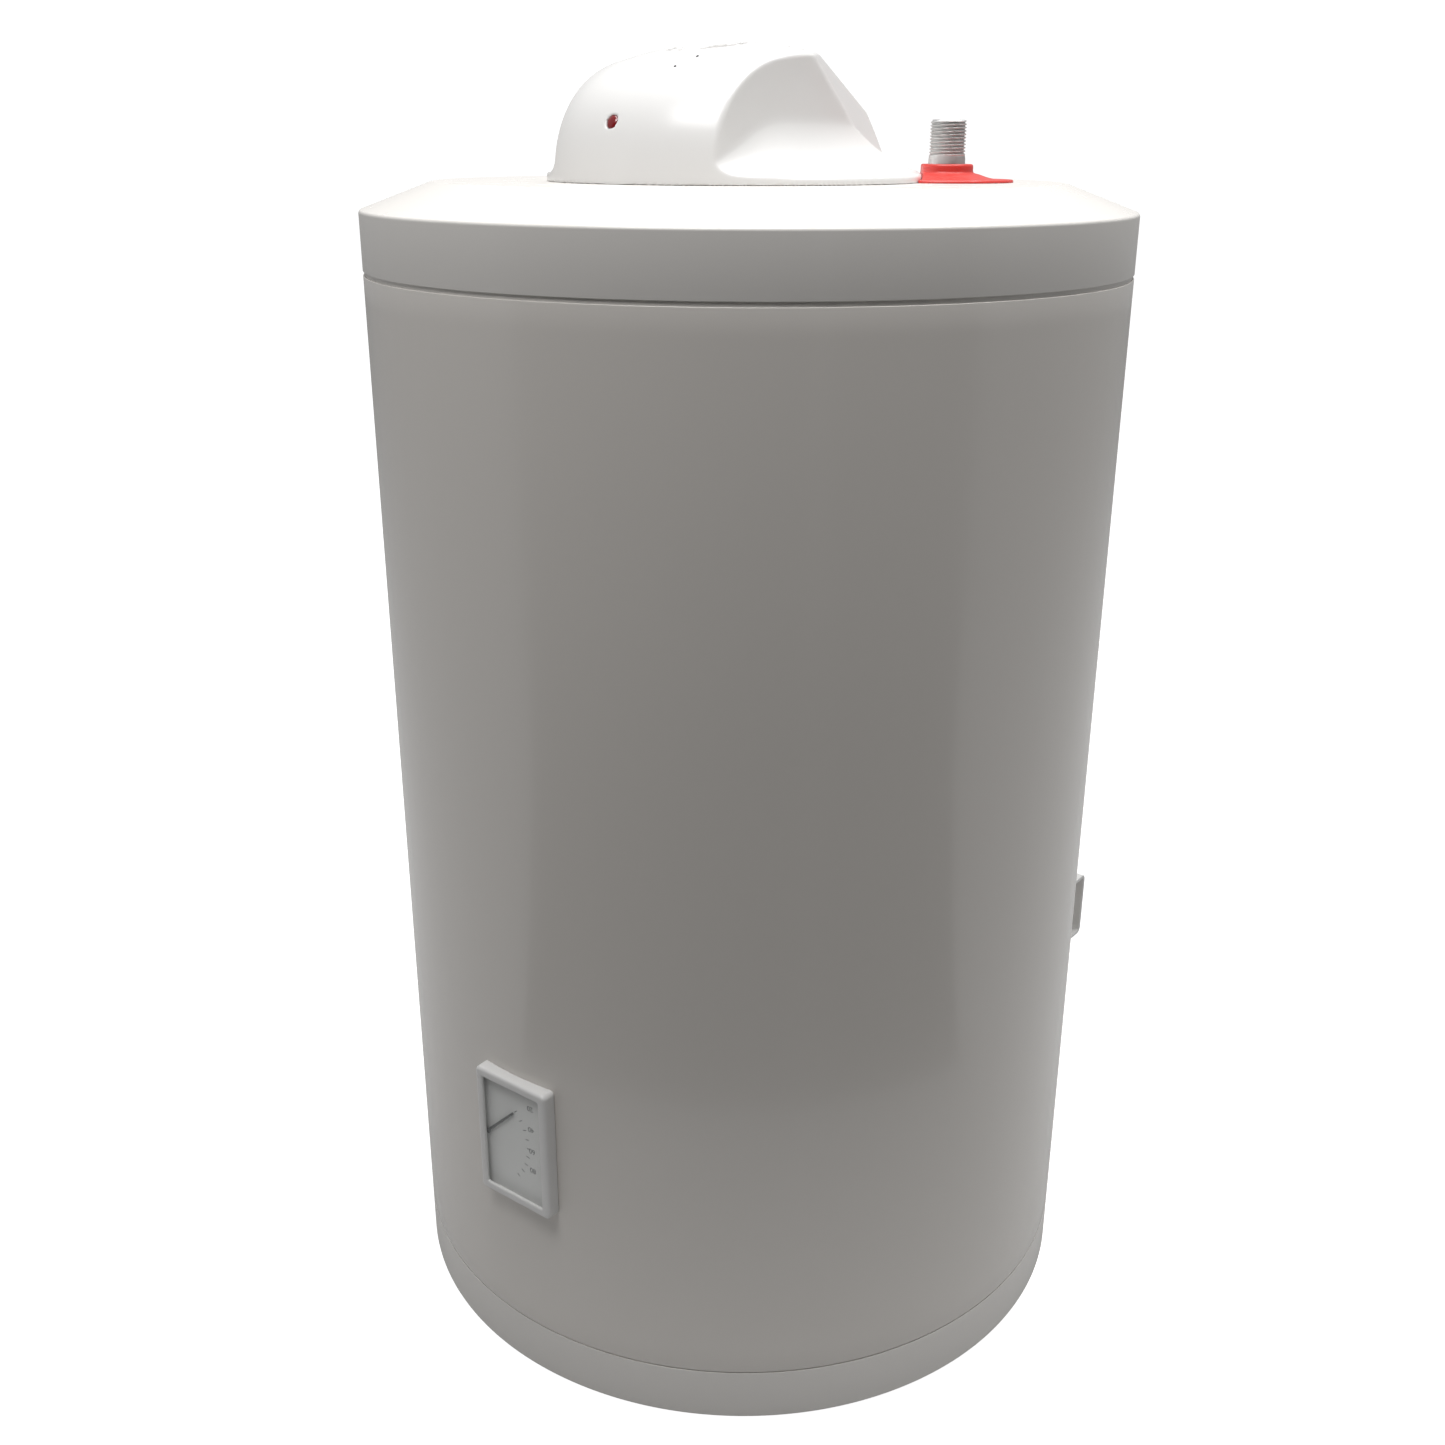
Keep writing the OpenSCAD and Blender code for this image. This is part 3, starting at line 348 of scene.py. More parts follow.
def driftGroup():
    # slow change of tone over a surface, as paint and plastic have
    tree = newTree("toneDrift", "ShaderNodeTree")
    socket(tree, "Vector", "NodeSocketVector")
    socket(tree, "Color", "NodeSocketColor")
    socket(tree, "Scale", "NodeSocketFloat", default=6.0)
    socket(tree, "Amount", "NodeSocketFloat", default=0.04)
    socket(tree, "Color", "NodeSocketColor", "OUTPUT")
    socket(tree, "Tone", "NodeSocketFloat", "OUTPUT")
    w = Wires(tree)
    gin, gout = w.add("NodeGroupInput"), w.add("NodeGroupOutput")
    slow = w.add("ShaderNodeTexNoise")
    slow.inputs["Detail"].default_value = 3.0
    w.link(gin.outputs["Vector"], slow.inputs["Vector"])
    w.link(gin.outputs["Scale"], slow.inputs["Scale"])
    swing = w.math("SUBTRACT", slow.outputs["Fac"], 0.5)
    swing = w.math("MULTIPLY", swing, gin.outputs["Amount"])
    value = w.math("ADD", w.math("MULTIPLY", swing, 2.0), 1.0)
    hsv = w.add("ShaderNodeHueSaturation")
    w.link(value, hsv.inputs["Value"])
    w.link(gin.outputs["Color"], hsv.inputs["Color"])
    w.link(hsv.outputs["Color"], gout.inputs["Color"])
    w.link(slow.outputs["Fac"], gout.inputs["Tone"])
    return tree


def grainGroup():
    # fine moulded or sprayed grain over a slower waviness
    tree = newTree("surfaceGrain", "ShaderNodeTree")
    socket(tree, "Vector", "NodeSocketVector")
    socket(tree, "Grain Scale", "NodeSocketFloat", default=900.0)
    socket(tree, "Grain Depth", "NodeSocketFloat", default=0.00001)
    socket(tree, "Wave Scale", "NodeSocketFloat", default=9.0)
    socket(tree, "Wave Depth", "NodeSocketFloat", default=0.0002)
    socket(tree, "Normal", "NodeSocketVector", "OUTPUT")
    socket(tree, "Grain", "NodeSocketFloat", "OUTPUT")
    w = Wires(tree)
    gin, gout = w.add("NodeGroupInput"), w.add("NodeGroupOutput")
    fine, slow = w.add("ShaderNodeTexNoise"), w.add("ShaderNodeTexNoise")
    fine.inputs["Detail"].default_value = 4.0
    slow.inputs["Detail"].default_value = 1.0
    for node, key in ((fine, "Grain Scale"), (slow, "Wave Scale")):
        w.link(gin.outputs["Vector"], node.inputs["Vector"])
        w.link(gin.outputs[key], node.inputs["Scale"])
    height = w.math("ADD", w.math("MULTIPLY", fine.outputs["Fac"], gin.outputs["Grain Depth"]),
                    w.math("MULTIPLY", slow.outputs["Fac"], gin.outputs["Wave Depth"]))
    bump = w.add("ShaderNodeBump")
    bump.inputs["Strength"].default_value = 1.0
    bump.inputs["Distance"].default_value = 1.0
    w.link(height, bump.inputs["Height"])
    w.link(bump.outputs["Normal"], gout.inputs["Normal"])
    w.link(fine.outputs["Fac"], gout.inputs["Grain"])
    return tree


def dustGroup():
    # a thin film on faces that look up, and faint handling marks everywhere
    tree = newTree("dustFilm", "ShaderNodeTree")
    socket(tree, "Vector", "NodeSocketVector")
    socket(tree, "Color", "NodeSocketColor")
    socket(tree, "Dust", "NodeSocketFloat", default=0.15)
    socket(tree, "Base Roughness", "NodeSocketFloat", default=0.3)
    socket(tree, "Marks", "NodeSocketFloat", default=0.05)
    socket(tree, "Color", "NodeSocketColor", "OUTPUT")
    socket(tree, "Roughness", "NodeSocketFloat", "OUTPUT")
    w = Wires(tree)
    gin, gout = w.add("NodeGroupInput"), w.add("NodeGroupOutput")
    geometry, split = w.add("ShaderNodeNewGeometry"), w.add("ShaderNodeSeparateXYZ")
    w.link(geometry.outputs["Normal"], split.inputs[0])
    patch, smear = w.add("ShaderNodeTexNoise"), w.add("ShaderNodeTexNoise")
    patch.inputs["Scale"].default_value = 45.0
    patch.inputs["Detail"].default_value = 5.0
    smear.inputs["Scale"].default_value = 14.0
    smear.inputs["Detail"].default_value = 6.0
    for node in (patch, smear):
        w.link(gin.outputs["Vector"], node.inputs["Vector"])
    up = w.ramp(split.outputs["Z"], 0.2, 0.95)
    film = w.math("MULTIPLY", w.math("MULTIPLY", up, patch.outputs["Fac"]), gin.outputs["Dust"])
    w.link(w.mixColor(film, gin.outputs["Color"], (0.45, 0.43, 0.40, 1)), gout.inputs["Color"])
    rough = w.math("ADD", gin.outputs["Base Roughness"],
                   w.math("MULTIPLY", w.ramp(smear.outputs["Fac"], 0.35, 0.7), gin.outputs["Marks"]))
    rough = w.math("ADD", rough, w.math("MULTIPLY", film, 0.6), clamp=True)
    w.link(rough, gout.inputs["Roughness"])
    return tree


def brushedGroup():
    # long fine lines round an upright axis or along one
    tree = newTree("drawnLines", "ShaderNodeTree")
    socket(tree, "Vector", "NodeSocketVector")
    socket(tree, "Across", "NodeSocketFloat", default=900.0)
    socket(tree, "Along", "NodeSocketFloat", default=12.0)
    socket(tree, "Lines", "NodeSocketFloat", "OUTPUT")
    w = Wires(tree)
    gin, gout = w.add("NodeGroupInput"), w.add("NodeGroupOutput")
    stretch = w.add("ShaderNodeCombineXYZ")
    split = w.add("ShaderNodeSeparateXYZ")
    w.link(gin.outputs["Vector"], split.inputs[0])
    for i in range(2):
        w.link(w.math("MULTIPLY", split.outputs[i], gin.outputs["Along"]), stretch.inputs[i])
    w.link(w.math("MULTIPLY", split.outputs[2], gin.outputs["Across"]), stretch.inputs[2])
    lines = w.add("ShaderNodeTexNoise")
    lines.inputs["Scale"].default_value = 1.0
    lines.inputs["Detail"].default_value = 4.0
    w.link(stretch.outputs[0], lines.inputs["Vector"])
    w.link(lines.outputs["Fac"], gout.inputs["Lines"])
    return tree


groups = {"drift": driftGroup(), "grain": grainGroup(), "dust": dustGroup(), "lines": brushedGroup()}

# finishes

print("finishes")

# colour, roughness, metallic, and how strong each shared effect is; depths are in metres
finishes = {
    "jacket_enamel": dict(color=(0.785, 0.750, 0.708), rough=0.20, coat=0.35, grain=(260, 2.0e-6),
                          wave=(7, 2.2e-4), drift=(3, 0.015), dust=0.05, marks=0.05),
    "cap_plastic": dict(color=(0.815, 0.790, 0.757), rough=0.27, grain=(700, 7e-6), wave=(16, 1.2e-4),
                        drift=(5, 0.015), dust=0.01, marks=0.0),
    "cover_plastic": dict(color=(0.820, 0.812, 0.800), rough=0.25, grain=(800, 6e-6), wave=(25, 6e-5),
                          drift=(8, 0.012), dust=0.0, marks=0.0),
    "knob_plastic": dict(color=(0.800, 0.792, 0.780), rough=0.30, grain=(1400, 8e-6), drift=(20, 0.02),
                         dust=0.08),
    "bezel_plastic": dict(color=(0.830, 0.825, 0.815), rough=0.26, grain=(1100, 6e-6), drift=(20, 0.01),
                          dust=0.02),
    "foam": dict(color=(0.62, 0.47, 0.22), rough=0.85, cells=(420, 6e-4), drift=(15, 0.12)),
    "tank_steel": dict(color=(0.060, 0.085, 0.115), rough=0.24, grain=(160, 2e-5), wave=(20, 3e-4),
                       drift=(6, 0.25), marks=0.15),
    "black_rubber": dict(color=(0.018, 0.018, 0.019), rough=0.62, grain=(900, 2e-5), drift=(30, 0.2),
                         dust=0.25),
    "zinc_steel": dict(color=(0.56, 0.57, 0.56), rough=0.32, metal=1.0, grain=(600, 1e-5),
                       drift=(60, 0.12), marks=0.2),
    "element_sheath": dict(color=(0.45, 0.44, 0.42), rough=0.38, metal=1.0, lines=0.25, grain=(500, 8e-6),
                           drift=(30, 0.15)),
    "magnesium": dict(color=(0.52, 0.52, 0.50), rough=0.55, metal=0.85, grain=(420, 5e-5),
                      drift=(45, 0.2)),
    "copper_tube": dict(color=(0.70, 0.33, 0.19), rough=0.30, metal=1.0, grain=(500, 6e-6),
                        drift=(60, 0.2), marks=0.2),
    "brown_phenolic": dict(color=(0.085, 0.032, 0.016), rough=0.35, grain=(900, 1e-5), drift=(60, 0.2)),
    "black_plastic": dict(color=(0.020, 0.020, 0.021), rough=0.38, grain=(1000, 1.5e-5), drift=(50, 0.2),
                          dust=0.15),
    "red_plastic": dict(color=(0.50, 0.020, 0.015), rough=0.30, grain=(1000, 8e-6), drift=(60, 0.1)),
    "ivory_plastic": dict(color=(0.66, 0.62, 0.50), rough=0.42, grain=(900, 1e-5), drift=(50, 0.05)),
    "brass_parts": dict(color=(0.78, 0.56, 0.25), rough=0.30, metal=1.0, grain=(700, 8e-6),
                        drift=(80, 0.12), marks=0.15),
    "wire_brown": dict(color=(0.13, 0.050, 0.022), rough=0.45, grain=(800, 8e-6), drift=(60, 0.1)),
    "wire_blue": dict(color=(0.030, 0.110, 0.360), rough=0.45, grain=(800, 8e-6), drift=(60, 0.1)),
    "wire_green": dict(color=(0.060, 0.260, 0.070), rough=0.45, grain=(800, 8e-6), drift=(60, 0.1),
                       bands=True),
    "wire_black": dict(color=(0.020, 0.020, 0.020), rough=0.45, grain=(800, 8e-6), drift=(60, 0.1)),
    "lamp_red": dict(color=(0.200, 0.006, 0.008), rough=0.08, coat=1.0, drift=(120, 0.2)),
    "pipe_steel": dict(color=(0.60, 0.605, 0.60), rough=0.30, metal=1.0, lines=0.2, grain=(500, 8e-6),
                       drift=(50, 0.15), marks=0.2),
    "ring_blue": dict(color=(0.020, 0.085, 0.42), rough=0.28, grain=(900, 8e-6), drift=(30, 0.06),
                      dust=0.06),
    "ring_red": dict(color=(0.68, 0.055, 0.045), rough=0.28, grain=(900, 8e-6), drift=(30, 0.06),
                     dust=0.06),
    "bracket_paint": dict(color=(0.780, 0.780, 0.770), rough=0.34, grain=(500, 1.5e-5), drift=(20, 0.03),
                          dust=0.1, marks=0.12),
    "dial_face": dict(color=(0.930, 0.930, 0.915), rough=0.48, grain=(1500, 4e-6), drift=(30, 0.02)),
    "pointer_black": dict(color=(0.022, 0.022, 0.024), rough=0.42, grain=(1500, 5e-6), drift=(80, 0.15)),
    "clear_window": dict(color=(0.95, 0.97, 0.96), rough=0.05, clear=True, drift=(10, 0.01)),
    "print_grey": dict(color=(0.060, 0.062, 0.066), rough=0.55, grain=(2500, 4e-6), drift=(150, 0.2)),
}


def makeFinish(name, spec):
    material = bpy.data.materials.new(name)
    material.use_nodes = True
    w = Wires(material.node_tree)
    shader = material.node_tree.nodes["Principled BSDF"]
    place = w.add("ShaderNodeTexCoord").outputs["Object"]
    drift = w.add("ShaderNodeGroup", node_tree=groups["drift"])
    w.link(place, drift.inputs["Vector"])
    drift.inputs["Color"].default_value = (*spec["color"], 1)
    drift.inputs["Scale"].default_value, drift.inputs["Amount"].default_value = spec["drift"]
    color = drift.outputs["Color"]
    if spec.get("bands"):
        # the earth wire's second colour, wound round it
        wave = w.add("ShaderNodeTexWave", wave_type="BANDS", bands_direction="DIAGONAL")
        wave.inputs["Scale"].default_value = 90.0
        w.link(place, wave.inputs["Vector"])
        color = w.mixColor(w.ramp(wave.outputs["Fac"], 0.45, 0.55), color, (0.62, 0.55, 0.03, 1))
    dust = w.add("ShaderNodeGroup", node_tree=groups["dust"])
    w.link(place, dust.inputs["Vector"])
    w.link(color, dust.inputs["Color"])
    dust.inputs["Dust"].default_value = spec.get("dust", 0.0)
    dust.inputs["Base Roughness"].default_value = spec["rough"]
    dust.inputs["Marks"].default_value = spec.get("marks", 0.04)
    rough = dust.outputs["Roughness"]
    if spec.get("lines"):
        lines = w.add("ShaderNodeGroup", node_tree=groups["lines"])
        w.link(place, lines.inputs["Vector"])
        rough = w.math("ADD", rough, w.math("MULTIPLY", lines.outputs["Lines"], spec["lines"]), clamp=True)
    w.link(dust.outputs["Color"], shader.inputs["Base Color"])
    w.link(rough, shader.inputs["Roughness"])
    if spec.get("cells"):
        cell = w.add("ShaderNodeTexVoronoi", feature="F1")
        cell.inputs["Scale"].default_value = spec["cells"][0]
        w.link(place, cell.inputs["Vector"])
        bump = w.add("ShaderNodeBump")
        bump.inputs["Distance"].default_value = spec["cells"][1]
        w.link(cell.outputs["Distance"], bump.inputs["Height"])
        w.link(bump.outputs["Normal"], shader.inputs["Normal"])
    elif spec.get("grain"):
        grain = w.add("ShaderNodeGroup", node_tree=groups["grain"])
        w.link(place, grain.inputs["Vector"])
        grain.inputs["Grain Scale"].default_value, grain.inputs["Grain Depth"].default_value = spec["grain"]
        waveScale, waveDepth = spec.get("wave", (9, 0))
        grain.inputs["Wave Scale"].default_value = waveScale
        grain.inputs["Wave Depth"].default_value = waveDepth
        w.link(grain.outputs["Normal"], shader.inputs["Normal"])
    shader.inputs["Metallic"].default_value = spec.get("metal", 0.0)
    shader.inputs["Coat Weight"].default_value = spec.get("coat", 0.0)
    shader.inputs["Coat Roughness"].default_value = 0.06
    if spec.get("clear"):
        shader.inputs["Alpha"].default_value = 0.12
        shader.inputs["IOR"].default_value = 1.49
    return material


material = {name: makeFinish(name, spec) for name, spec in finishes.items()}
slotOfNode = {part["node"]: part["material_slot"] for part in record["subparts"]}
for name, ob in frame["nodes"].items():
    ob.data.materials.clear()
    ob.data.materials.append(material[slotOfNode[name]])

# turned pieces: a section revolved by a node tree, with an optional screw thread


def turnedTree():
    tree = newTree("turnedPiece", "GeometryNodeTree")
    socket(tree, "Section", "NodeSocketGeometry")
    socket(tree, "Sides", "NodeSocketInt", default=128, low=8)
    socket(tree, "Pitch", "NodeSocketFloat", default=0.0018)
    socket(tree, "Depth", "NodeSocketFloat", default=0.0)
    socket(tree, "Thread Low", "NodeSocketFloat", default=0.0)
    socket(tree, "Thread High", "NodeSocketFloat", default=0.0)
    socket(tree, "Thread Radius", "NodeSocketFloat", default=1.0)
    socket(tree, "Finish", "NodeSocketMaterial")
    socket(tree, "Piece", "NodeSocketGeometry", "OUTPUT")
    w = Wires(tree)
    gin, gout = w.add("NodeGroupInput"), w.add("NodeGroupOutput")
    size = w.add("GeometryNodeAttributeDomainSize")
    w.link(gin.outputs["Section"], size.inputs[0])
    rows = size.outputs["Point Count"]
    columns = w.math("ADD", gin.outputs["Sides"], 1.0)
    grid = w.add("GeometryNodeMeshGrid")
    w.link(columns, grid.inputs["Vertices X"])
    w.link(rows, grid.inputs["Vertices Y"])
    index = w.add("GeometryNodeInputIndex").outputs[0]
    row = w.math("MODULO", index, rows)
    column = w.math("FLOOR", w.math("DIVIDE", w.math("ADD", index, 0.01), rows))
    sample = w.add("GeometryNodeSampleIndex", data_type="FLOAT_VECTOR", domain="POINT")
    position = w.add("GeometryNodeInputPosition").outputs[0]
    w.link(gin.outputs["Section"], sample.inputs["Geometry"])
    w.link(position, sample.inputs["Value"])
    w.link(row, sample.inputs["Index"])
    split = w.add("ShaderNodeSeparateXYZ")
    w.link(sample.outputs["Value"], split.inputs[0])
    radius, height = split.outputs["X"], split.outputs["Z"]
    angle = w.math("DIVIDE", w.math("MULTIPLY", column, math.tau), gin.outputs["Sides"])
    # thread: a rounded groove that climbs one pitch each turn, fading out at both ends
    phase = w.math("SUBTRACT", w.math("DIVIDE", height, gin.outputs["Pitch"]),
                   w.math("DIVIDE", angle, math.tau))
    groove = w.math("ADD", w.math("MULTIPLY", w.math("COSINE", w.math("MULTIPLY", phase, math.tau)), 0.62),
                    0.5,
                    clamp=True)
    fadeLow = w.math("DIVIDE", w.math("SUBTRACT", height, gin.outputs["Thread Low"]), gin.outputs["Pitch"],
                     clamp=True)
    fadeHigh = w.math("DIVIDE", w.math("SUBTRACT", gin.outputs["Thread High"], height), gin.outputs["Pitch"],
                      clamp=True)
    outside = w.math("GREATER_THAN", radius, gin.outputs["Thread Radius"])
    cut = w.math("MULTIPLY", w.math("MULTIPLY", fadeLow, fadeHigh), w.math("MULTIPLY", outside, groove))
    radius = w.math("SUBTRACT", radius, w.math("MULTIPLY", cut, gin.outputs["Depth"]))
    spot = w.add("ShaderNodeCombineXYZ")
    w.link(w.math("MULTIPLY", radius, w.math("COSINE", angle)), spot.inputs[0])
    w.link(w.math("MULTIPLY", radius, w.math("SINE", angle)), spot.inputs[1])
    w.link(height, spot.inputs[2])
    move = w.add("GeometryNodeSetPosition")
    w.link(grid.outputs["Mesh"], move.inputs["Geometry"])
    w.link(spot.outputs[0], move.inputs["Position"])
    weld = w.add("GeometryNodeMergeByDistance")
    weld.inputs["Distance"].default_value = 0.000004
    w.link(move.outputs[0], weld.inputs["Geometry"])
    real = w.add("GeometryNodeRealizeInstances")
    w.link(weld.outputs[0], real.inputs[0])
    paint = w.add("GeometryNodeSetMaterial")
    w.link(real.outputs[0], paint.inputs["Geometry"])
    w.link(gin.outputs["Finish"], paint.inputs["Material"])
    w.link(paint.outputs[0], gout.inputs["Piece"])
    return tree


def arcTree():
    # repeats the object's own mesh along an arc about +Z, or in a straight row when the arc is zero
    tree = newTree("repeatedPiece", "GeometryNodeTree")
    socket(tree, "Part", "NodeSocketGeometry")
    socket(tree, "Count", "NodeSocketInt", default=6, low=1)
    socket(tree, "Start", "NodeSocketFloat", default=0.0)
    socket(tree, "Step", "NodeSocketFloat", default=1.0)
    socket(tree, "Reach", "NodeSocketFloat", default=0.02)
    socket(tree, "Turn Part", "NodeSocketFloat", default=1.0)
    socket(tree, "Row Step", "NodeSocketVector")
    socket(tree, "Finish", "NodeSocketMaterial")
    socket(tree, "Piece", "NodeSocketGeometry", "OUTPUT")
    w = Wires(tree)
    gin, gout = w.add("NodeGroupInput"), w.add("NodeGroupOutput")
    line = w.add("GeometryNodePoints")
    w.link(gin.outputs["Count"], line.inputs["Count"])
    index = w.add("GeometryNodeInputIndex").outputs[0]
    angle = w.math("ADD", gin.outputs["Start"], w.math("MULTIPLY", index, gin.outputs["Step"]))
    spot = w.add("ShaderNodeCombineXYZ")
    w.link(w.math("MULTIPLY", gin.outputs["Reach"], w.math("COSINE", angle)), spot.inputs[0])
    w.link(w.math("MULTIPLY", gin.outputs["Reach"], w.math("SINE", angle)), spot.inputs[1])
    row = w.add("ShaderNodeVectorMath", operation="SCALE")
    w.link(gin.outputs["Row Step"], row.inputs[0])
    w.link(index, row.inputs["Scale"])
    total = w.add("ShaderNodeVectorMath", operation="ADD")
    w.link(spot.outputs[0], total.inputs[0])
    w.link(row.outputs[0], total.inputs[1])
    move = w.add("GeometryNodeSetPosition")
    w.link(line.outputs[0], move.inputs["Geometry"])
    w.link(total.outputs[0], move.inputs["Position"])
    spin = w.add("ShaderNodeCombineXYZ")
    w.link(w.math("MULTIPLY", angle, gin.outputs["Turn Part"]), spin.inputs[2])
    copies = w.add("GeometryNodeInstanceOnPoints")
    w.link(move.outputs[0], copies.inputs["Points"])
    w.link(gin.outputs["Part"], copies.inputs["Instance"])
    w.link(spin.outputs[0], copies.inputs["Rotation"])
    real = w.add("GeometryNodeRealizeInstances")
    w.link(copies.outputs[0], real.inputs[0])
    paint = w.add("GeometryNodeSetMaterial")
    w.link(real.outputs[0], paint.inputs["Geometry"])
    w.link(gin.outputs["Finish"], paint.inputs["Material"])
    w.link(paint.outputs[0], gout.inputs["Piece"])
    return tree


trees = {"turned": turnedTree(), "repeated": arcTree()}


def runTree(ob, tree, **values):
    step = ob.modifiers.new("nodes", "NODES")
    step.node_group = tree
    for item in tree.interface.items_tree:
        if item.item_type == "SOCKET" and item.in_out == "INPUT" and item.name in values:
            step[item.identifier] = values[item.name]
    return applied(ob)


def turned(name, section, finish, place=None, sides=192, thread=None, angle=32):
    # section: (radius, height) pairs in millimetres; a closed wall repeats its first pair at the end
    mesh = bpy.data.meshes.new(name)
    points = [(r * mm, 0, z * mm) for r, z in section]
    mesh.from_pydata(points, [(i, i + 1) for i in range(len(points) - 1)], [])
    ob = addObject(name, mesh)
    values = {"Sides": sides, "Finish": finish}
    if thread:
        values.update({"Pitch": thread["pitch"] * mm, "Depth": thread["depth"] * mm,
                       "Thread Low": thread["low"] * mm, "Thread High": thread["high"] * mm,
                       "Thread Radius": thread["radius"] * mm})
    runTree(ob, trees["turned"], **values)
    if place is not None:
        ob.data.transform(place)
    faceOutward(ob.data)
    ob.data.materials.clear()
    ob.data.materials.append(finish)
    shadeSmooth(ob.data, angle)
    return ob


def rounded(points, radii, steps=5):
    # replaces each corner of a line of (radius, height) pairs by a small arc
    out = []
    count = len(points)
    for i, (p, r) in enumerate(zip(points, radii)):
        p = np.array(p, float)
        if r == 0 or i in (0, count - 1):
            out.append(tuple(p))
            continue
        a, b = np.array(points[i - 1], float) - p, np.array(points[i + 1], float) - p
        la, lb = np.linalg.norm(a), np.linalg.norm(b)
        a, b = a / la, b / lb
        half = math.acos(max(-1, min(1, float(a @ b)))) / 2
        reach = min(r / math.tan(half), 0.49 * la, 0.49 * lb)
        r = reach * math.tan(half)
        mid = (a + b) / np.linalg.norm(a + b)
        centre = p + mid * (r / math.sin(half))
        start, end = p + a * reach - centre, p + b * reach - centre
        sweep = math.acos(max(-1, min(1, float(start @ end) / (r * r))))
        side = 1 if start[0] * end[1] - start[1] * end[0] > 0 else -1
        for k in range(steps + 1):
            t = side * sweep * k / steps
            out.append((centre[0] + start[0] * math.cos(t) - start[1] * math.sin(t),
                        centre[1] + start[0] * math.sin(t) + start[1] * math.cos(t)))
    return out


def closedSection(points, radii, steps=5):
    # rounds every corner of a ring of points, and repeats the first to close it
    ring = rounded([points[-1]] + list(points) + [points[0]], [0] + list(radii) + [0], steps)[1:-1]
    return ring + [ring[0]]


def turnTo(axis, origin):
    # places a piece made about +Z along another axis, in millimetres
    spin = Vector((0, 0, 1)).rotation_difference(Vector(axis)).to_matrix().to_4x4()
    return Matrix.Translation(Vector(origin) * mm) @ spin


# jacket and end caps

print("casing")
casing = {"rimHeight": 705.0, "wellR": 80, "pipeX": 100, "pipeY": 59, "pipeHole": 14, "screwX": 99,
          "screwHole": 1.95, "clampX": 9, "clampBack": 90, "clampHole": 1.6, "jacketWall": 0.8,
          "hem": 0.65, "rimRound": 2.2, "shoulderRound": 9.0, "capWall": 2.5, "footRound": 3.2,
          "plateauRadius": 185.0, "spigot": 12.0, "spigotGap": 1.0, "sides": 320}


def makeJacket():
    r, low, high = bodyR, jacketLow[2], jacketHigh[2]
    inner = r - casing["jacketWall"]
    rows = [(r, low + 14 + i * (high - low - 28) / 24) for i in range(25)]
    ring = [(inner, low), (r, low)] + rows + [(r, high), (inner, high)]
    radii = [0.08, casing["hem"]] + [0] * len(rows) + [casing["hem"], 0.08]
    ob = turned("jacket_shell", closedSection(ring, radii, 4), material["jacket_enamel"],
                sides=casing["sides"])
    armZ = (bracketLow[2] + bracketHigh[2]) / 2
    armLow, armHigh = boxOf("hanger_arms")
    armR = (armHigh[2] - armLow[2]) / 2
    armX = armHigh[0] - armR
    cutters = [rod("armHole", armR + 0.3, 60, (s * armX, r - 10, armZ), (0, 1, 0)) for s in (-1, 1)]
    spot, axis = jointPlace(pointerJoint)
    cutters.append(rod("stemHole", 2.6, 20, (spot.x, -r, spot.z), (0, 1, 0), 48))
    cutBy(ob, cutters)
    faceOutward(ob.data)
    shadeSmooth(ob.data, 25)
    return give(ob, "heater", "jacket_enamel", "outer_jacket")


def makeServiceCap():
    r, top, low = bodyR, capHigh[2], capLow[2]
    wall, flat = casing["capWall"], casing["plateauRadius"]
    rim, shelf = casing["rimHeight"], low + casing["spigot"] + 1.2
    spigotR = r - casing["spigotGap"]
    points = [(0, top - wall), (flat - 0.5, top - wall), (r - wall, rim - 2.6), (r - wall, shelf + 2),
              (spigotR - wall, shelf), (spigotR - wall, low), (spigotR, low), (spigotR, shelf), (r, shelf),
              (r, rim), (flat, top), (0, top)]
    radii = [0, 6, 1.5, 0.5, 0.3, 0.3, 0.5, 0.1, 0.35, casing["rimRound"], casing["shoulderRound"], 0]
    ob = turned("service_cap", rounded(points, radii, 6), material["cap_plastic"], sides=casing["sides"])
    cutters = [rod("well", casing["wellR"], 60, (0, coverMid[1], top), sides=160)]
    for s in (-1, 1):
        cutters.append(rod("pipeHole", casing["pipeHole"], 60, (s * casing["pipeX"], casing["pipeY"], top),
                           sides=96))
        cutters.append(rod("screwHole", casing["screwHole"], 60, (s * casing["screwX"], coverMid[1], top),
                           sides=32))
        clampY = coverMid[1] + casing["clampBack"]
        cutters.append(rod("clampHole", casing["clampHole"], 60, (s * casing["clampX"], clampY, top),
                           sides=32))
    cutBy(ob, cutters)
    faceOutward(ob.data)
    shadeSmooth(ob.data, 25)
    return give(ob, "heater", "cap_plastic", "service_end_cap")


def makeFootCap():
    r, top, low = bodyR, footHigh[2], footLow[2]
    wall, seam = casing["capWall"], jacketLow[2] - 0.8
    spigotR = r - casing["spigotGap"]
    points = [(0, low), (r, low), (r, seam), (spigotR, seam), (spigotR, top), (spigotR - wall, top),
              (spigotR - wall, low + wall), (0, low + wall)]
    radii = [0, casing["footRound"], 0.35, 0.1, 0.4, 0.4, 1.2, 0]
    ob = turned("foot_cap", rounded(points, radii, 6), material["cap_plastic"], sides=casing["sides"])
    return give(ob, "heater", "cap_plastic", "closed_end_cap")


makeJacket()
makeServiceCap()
makeFootCap()

# terminal cover

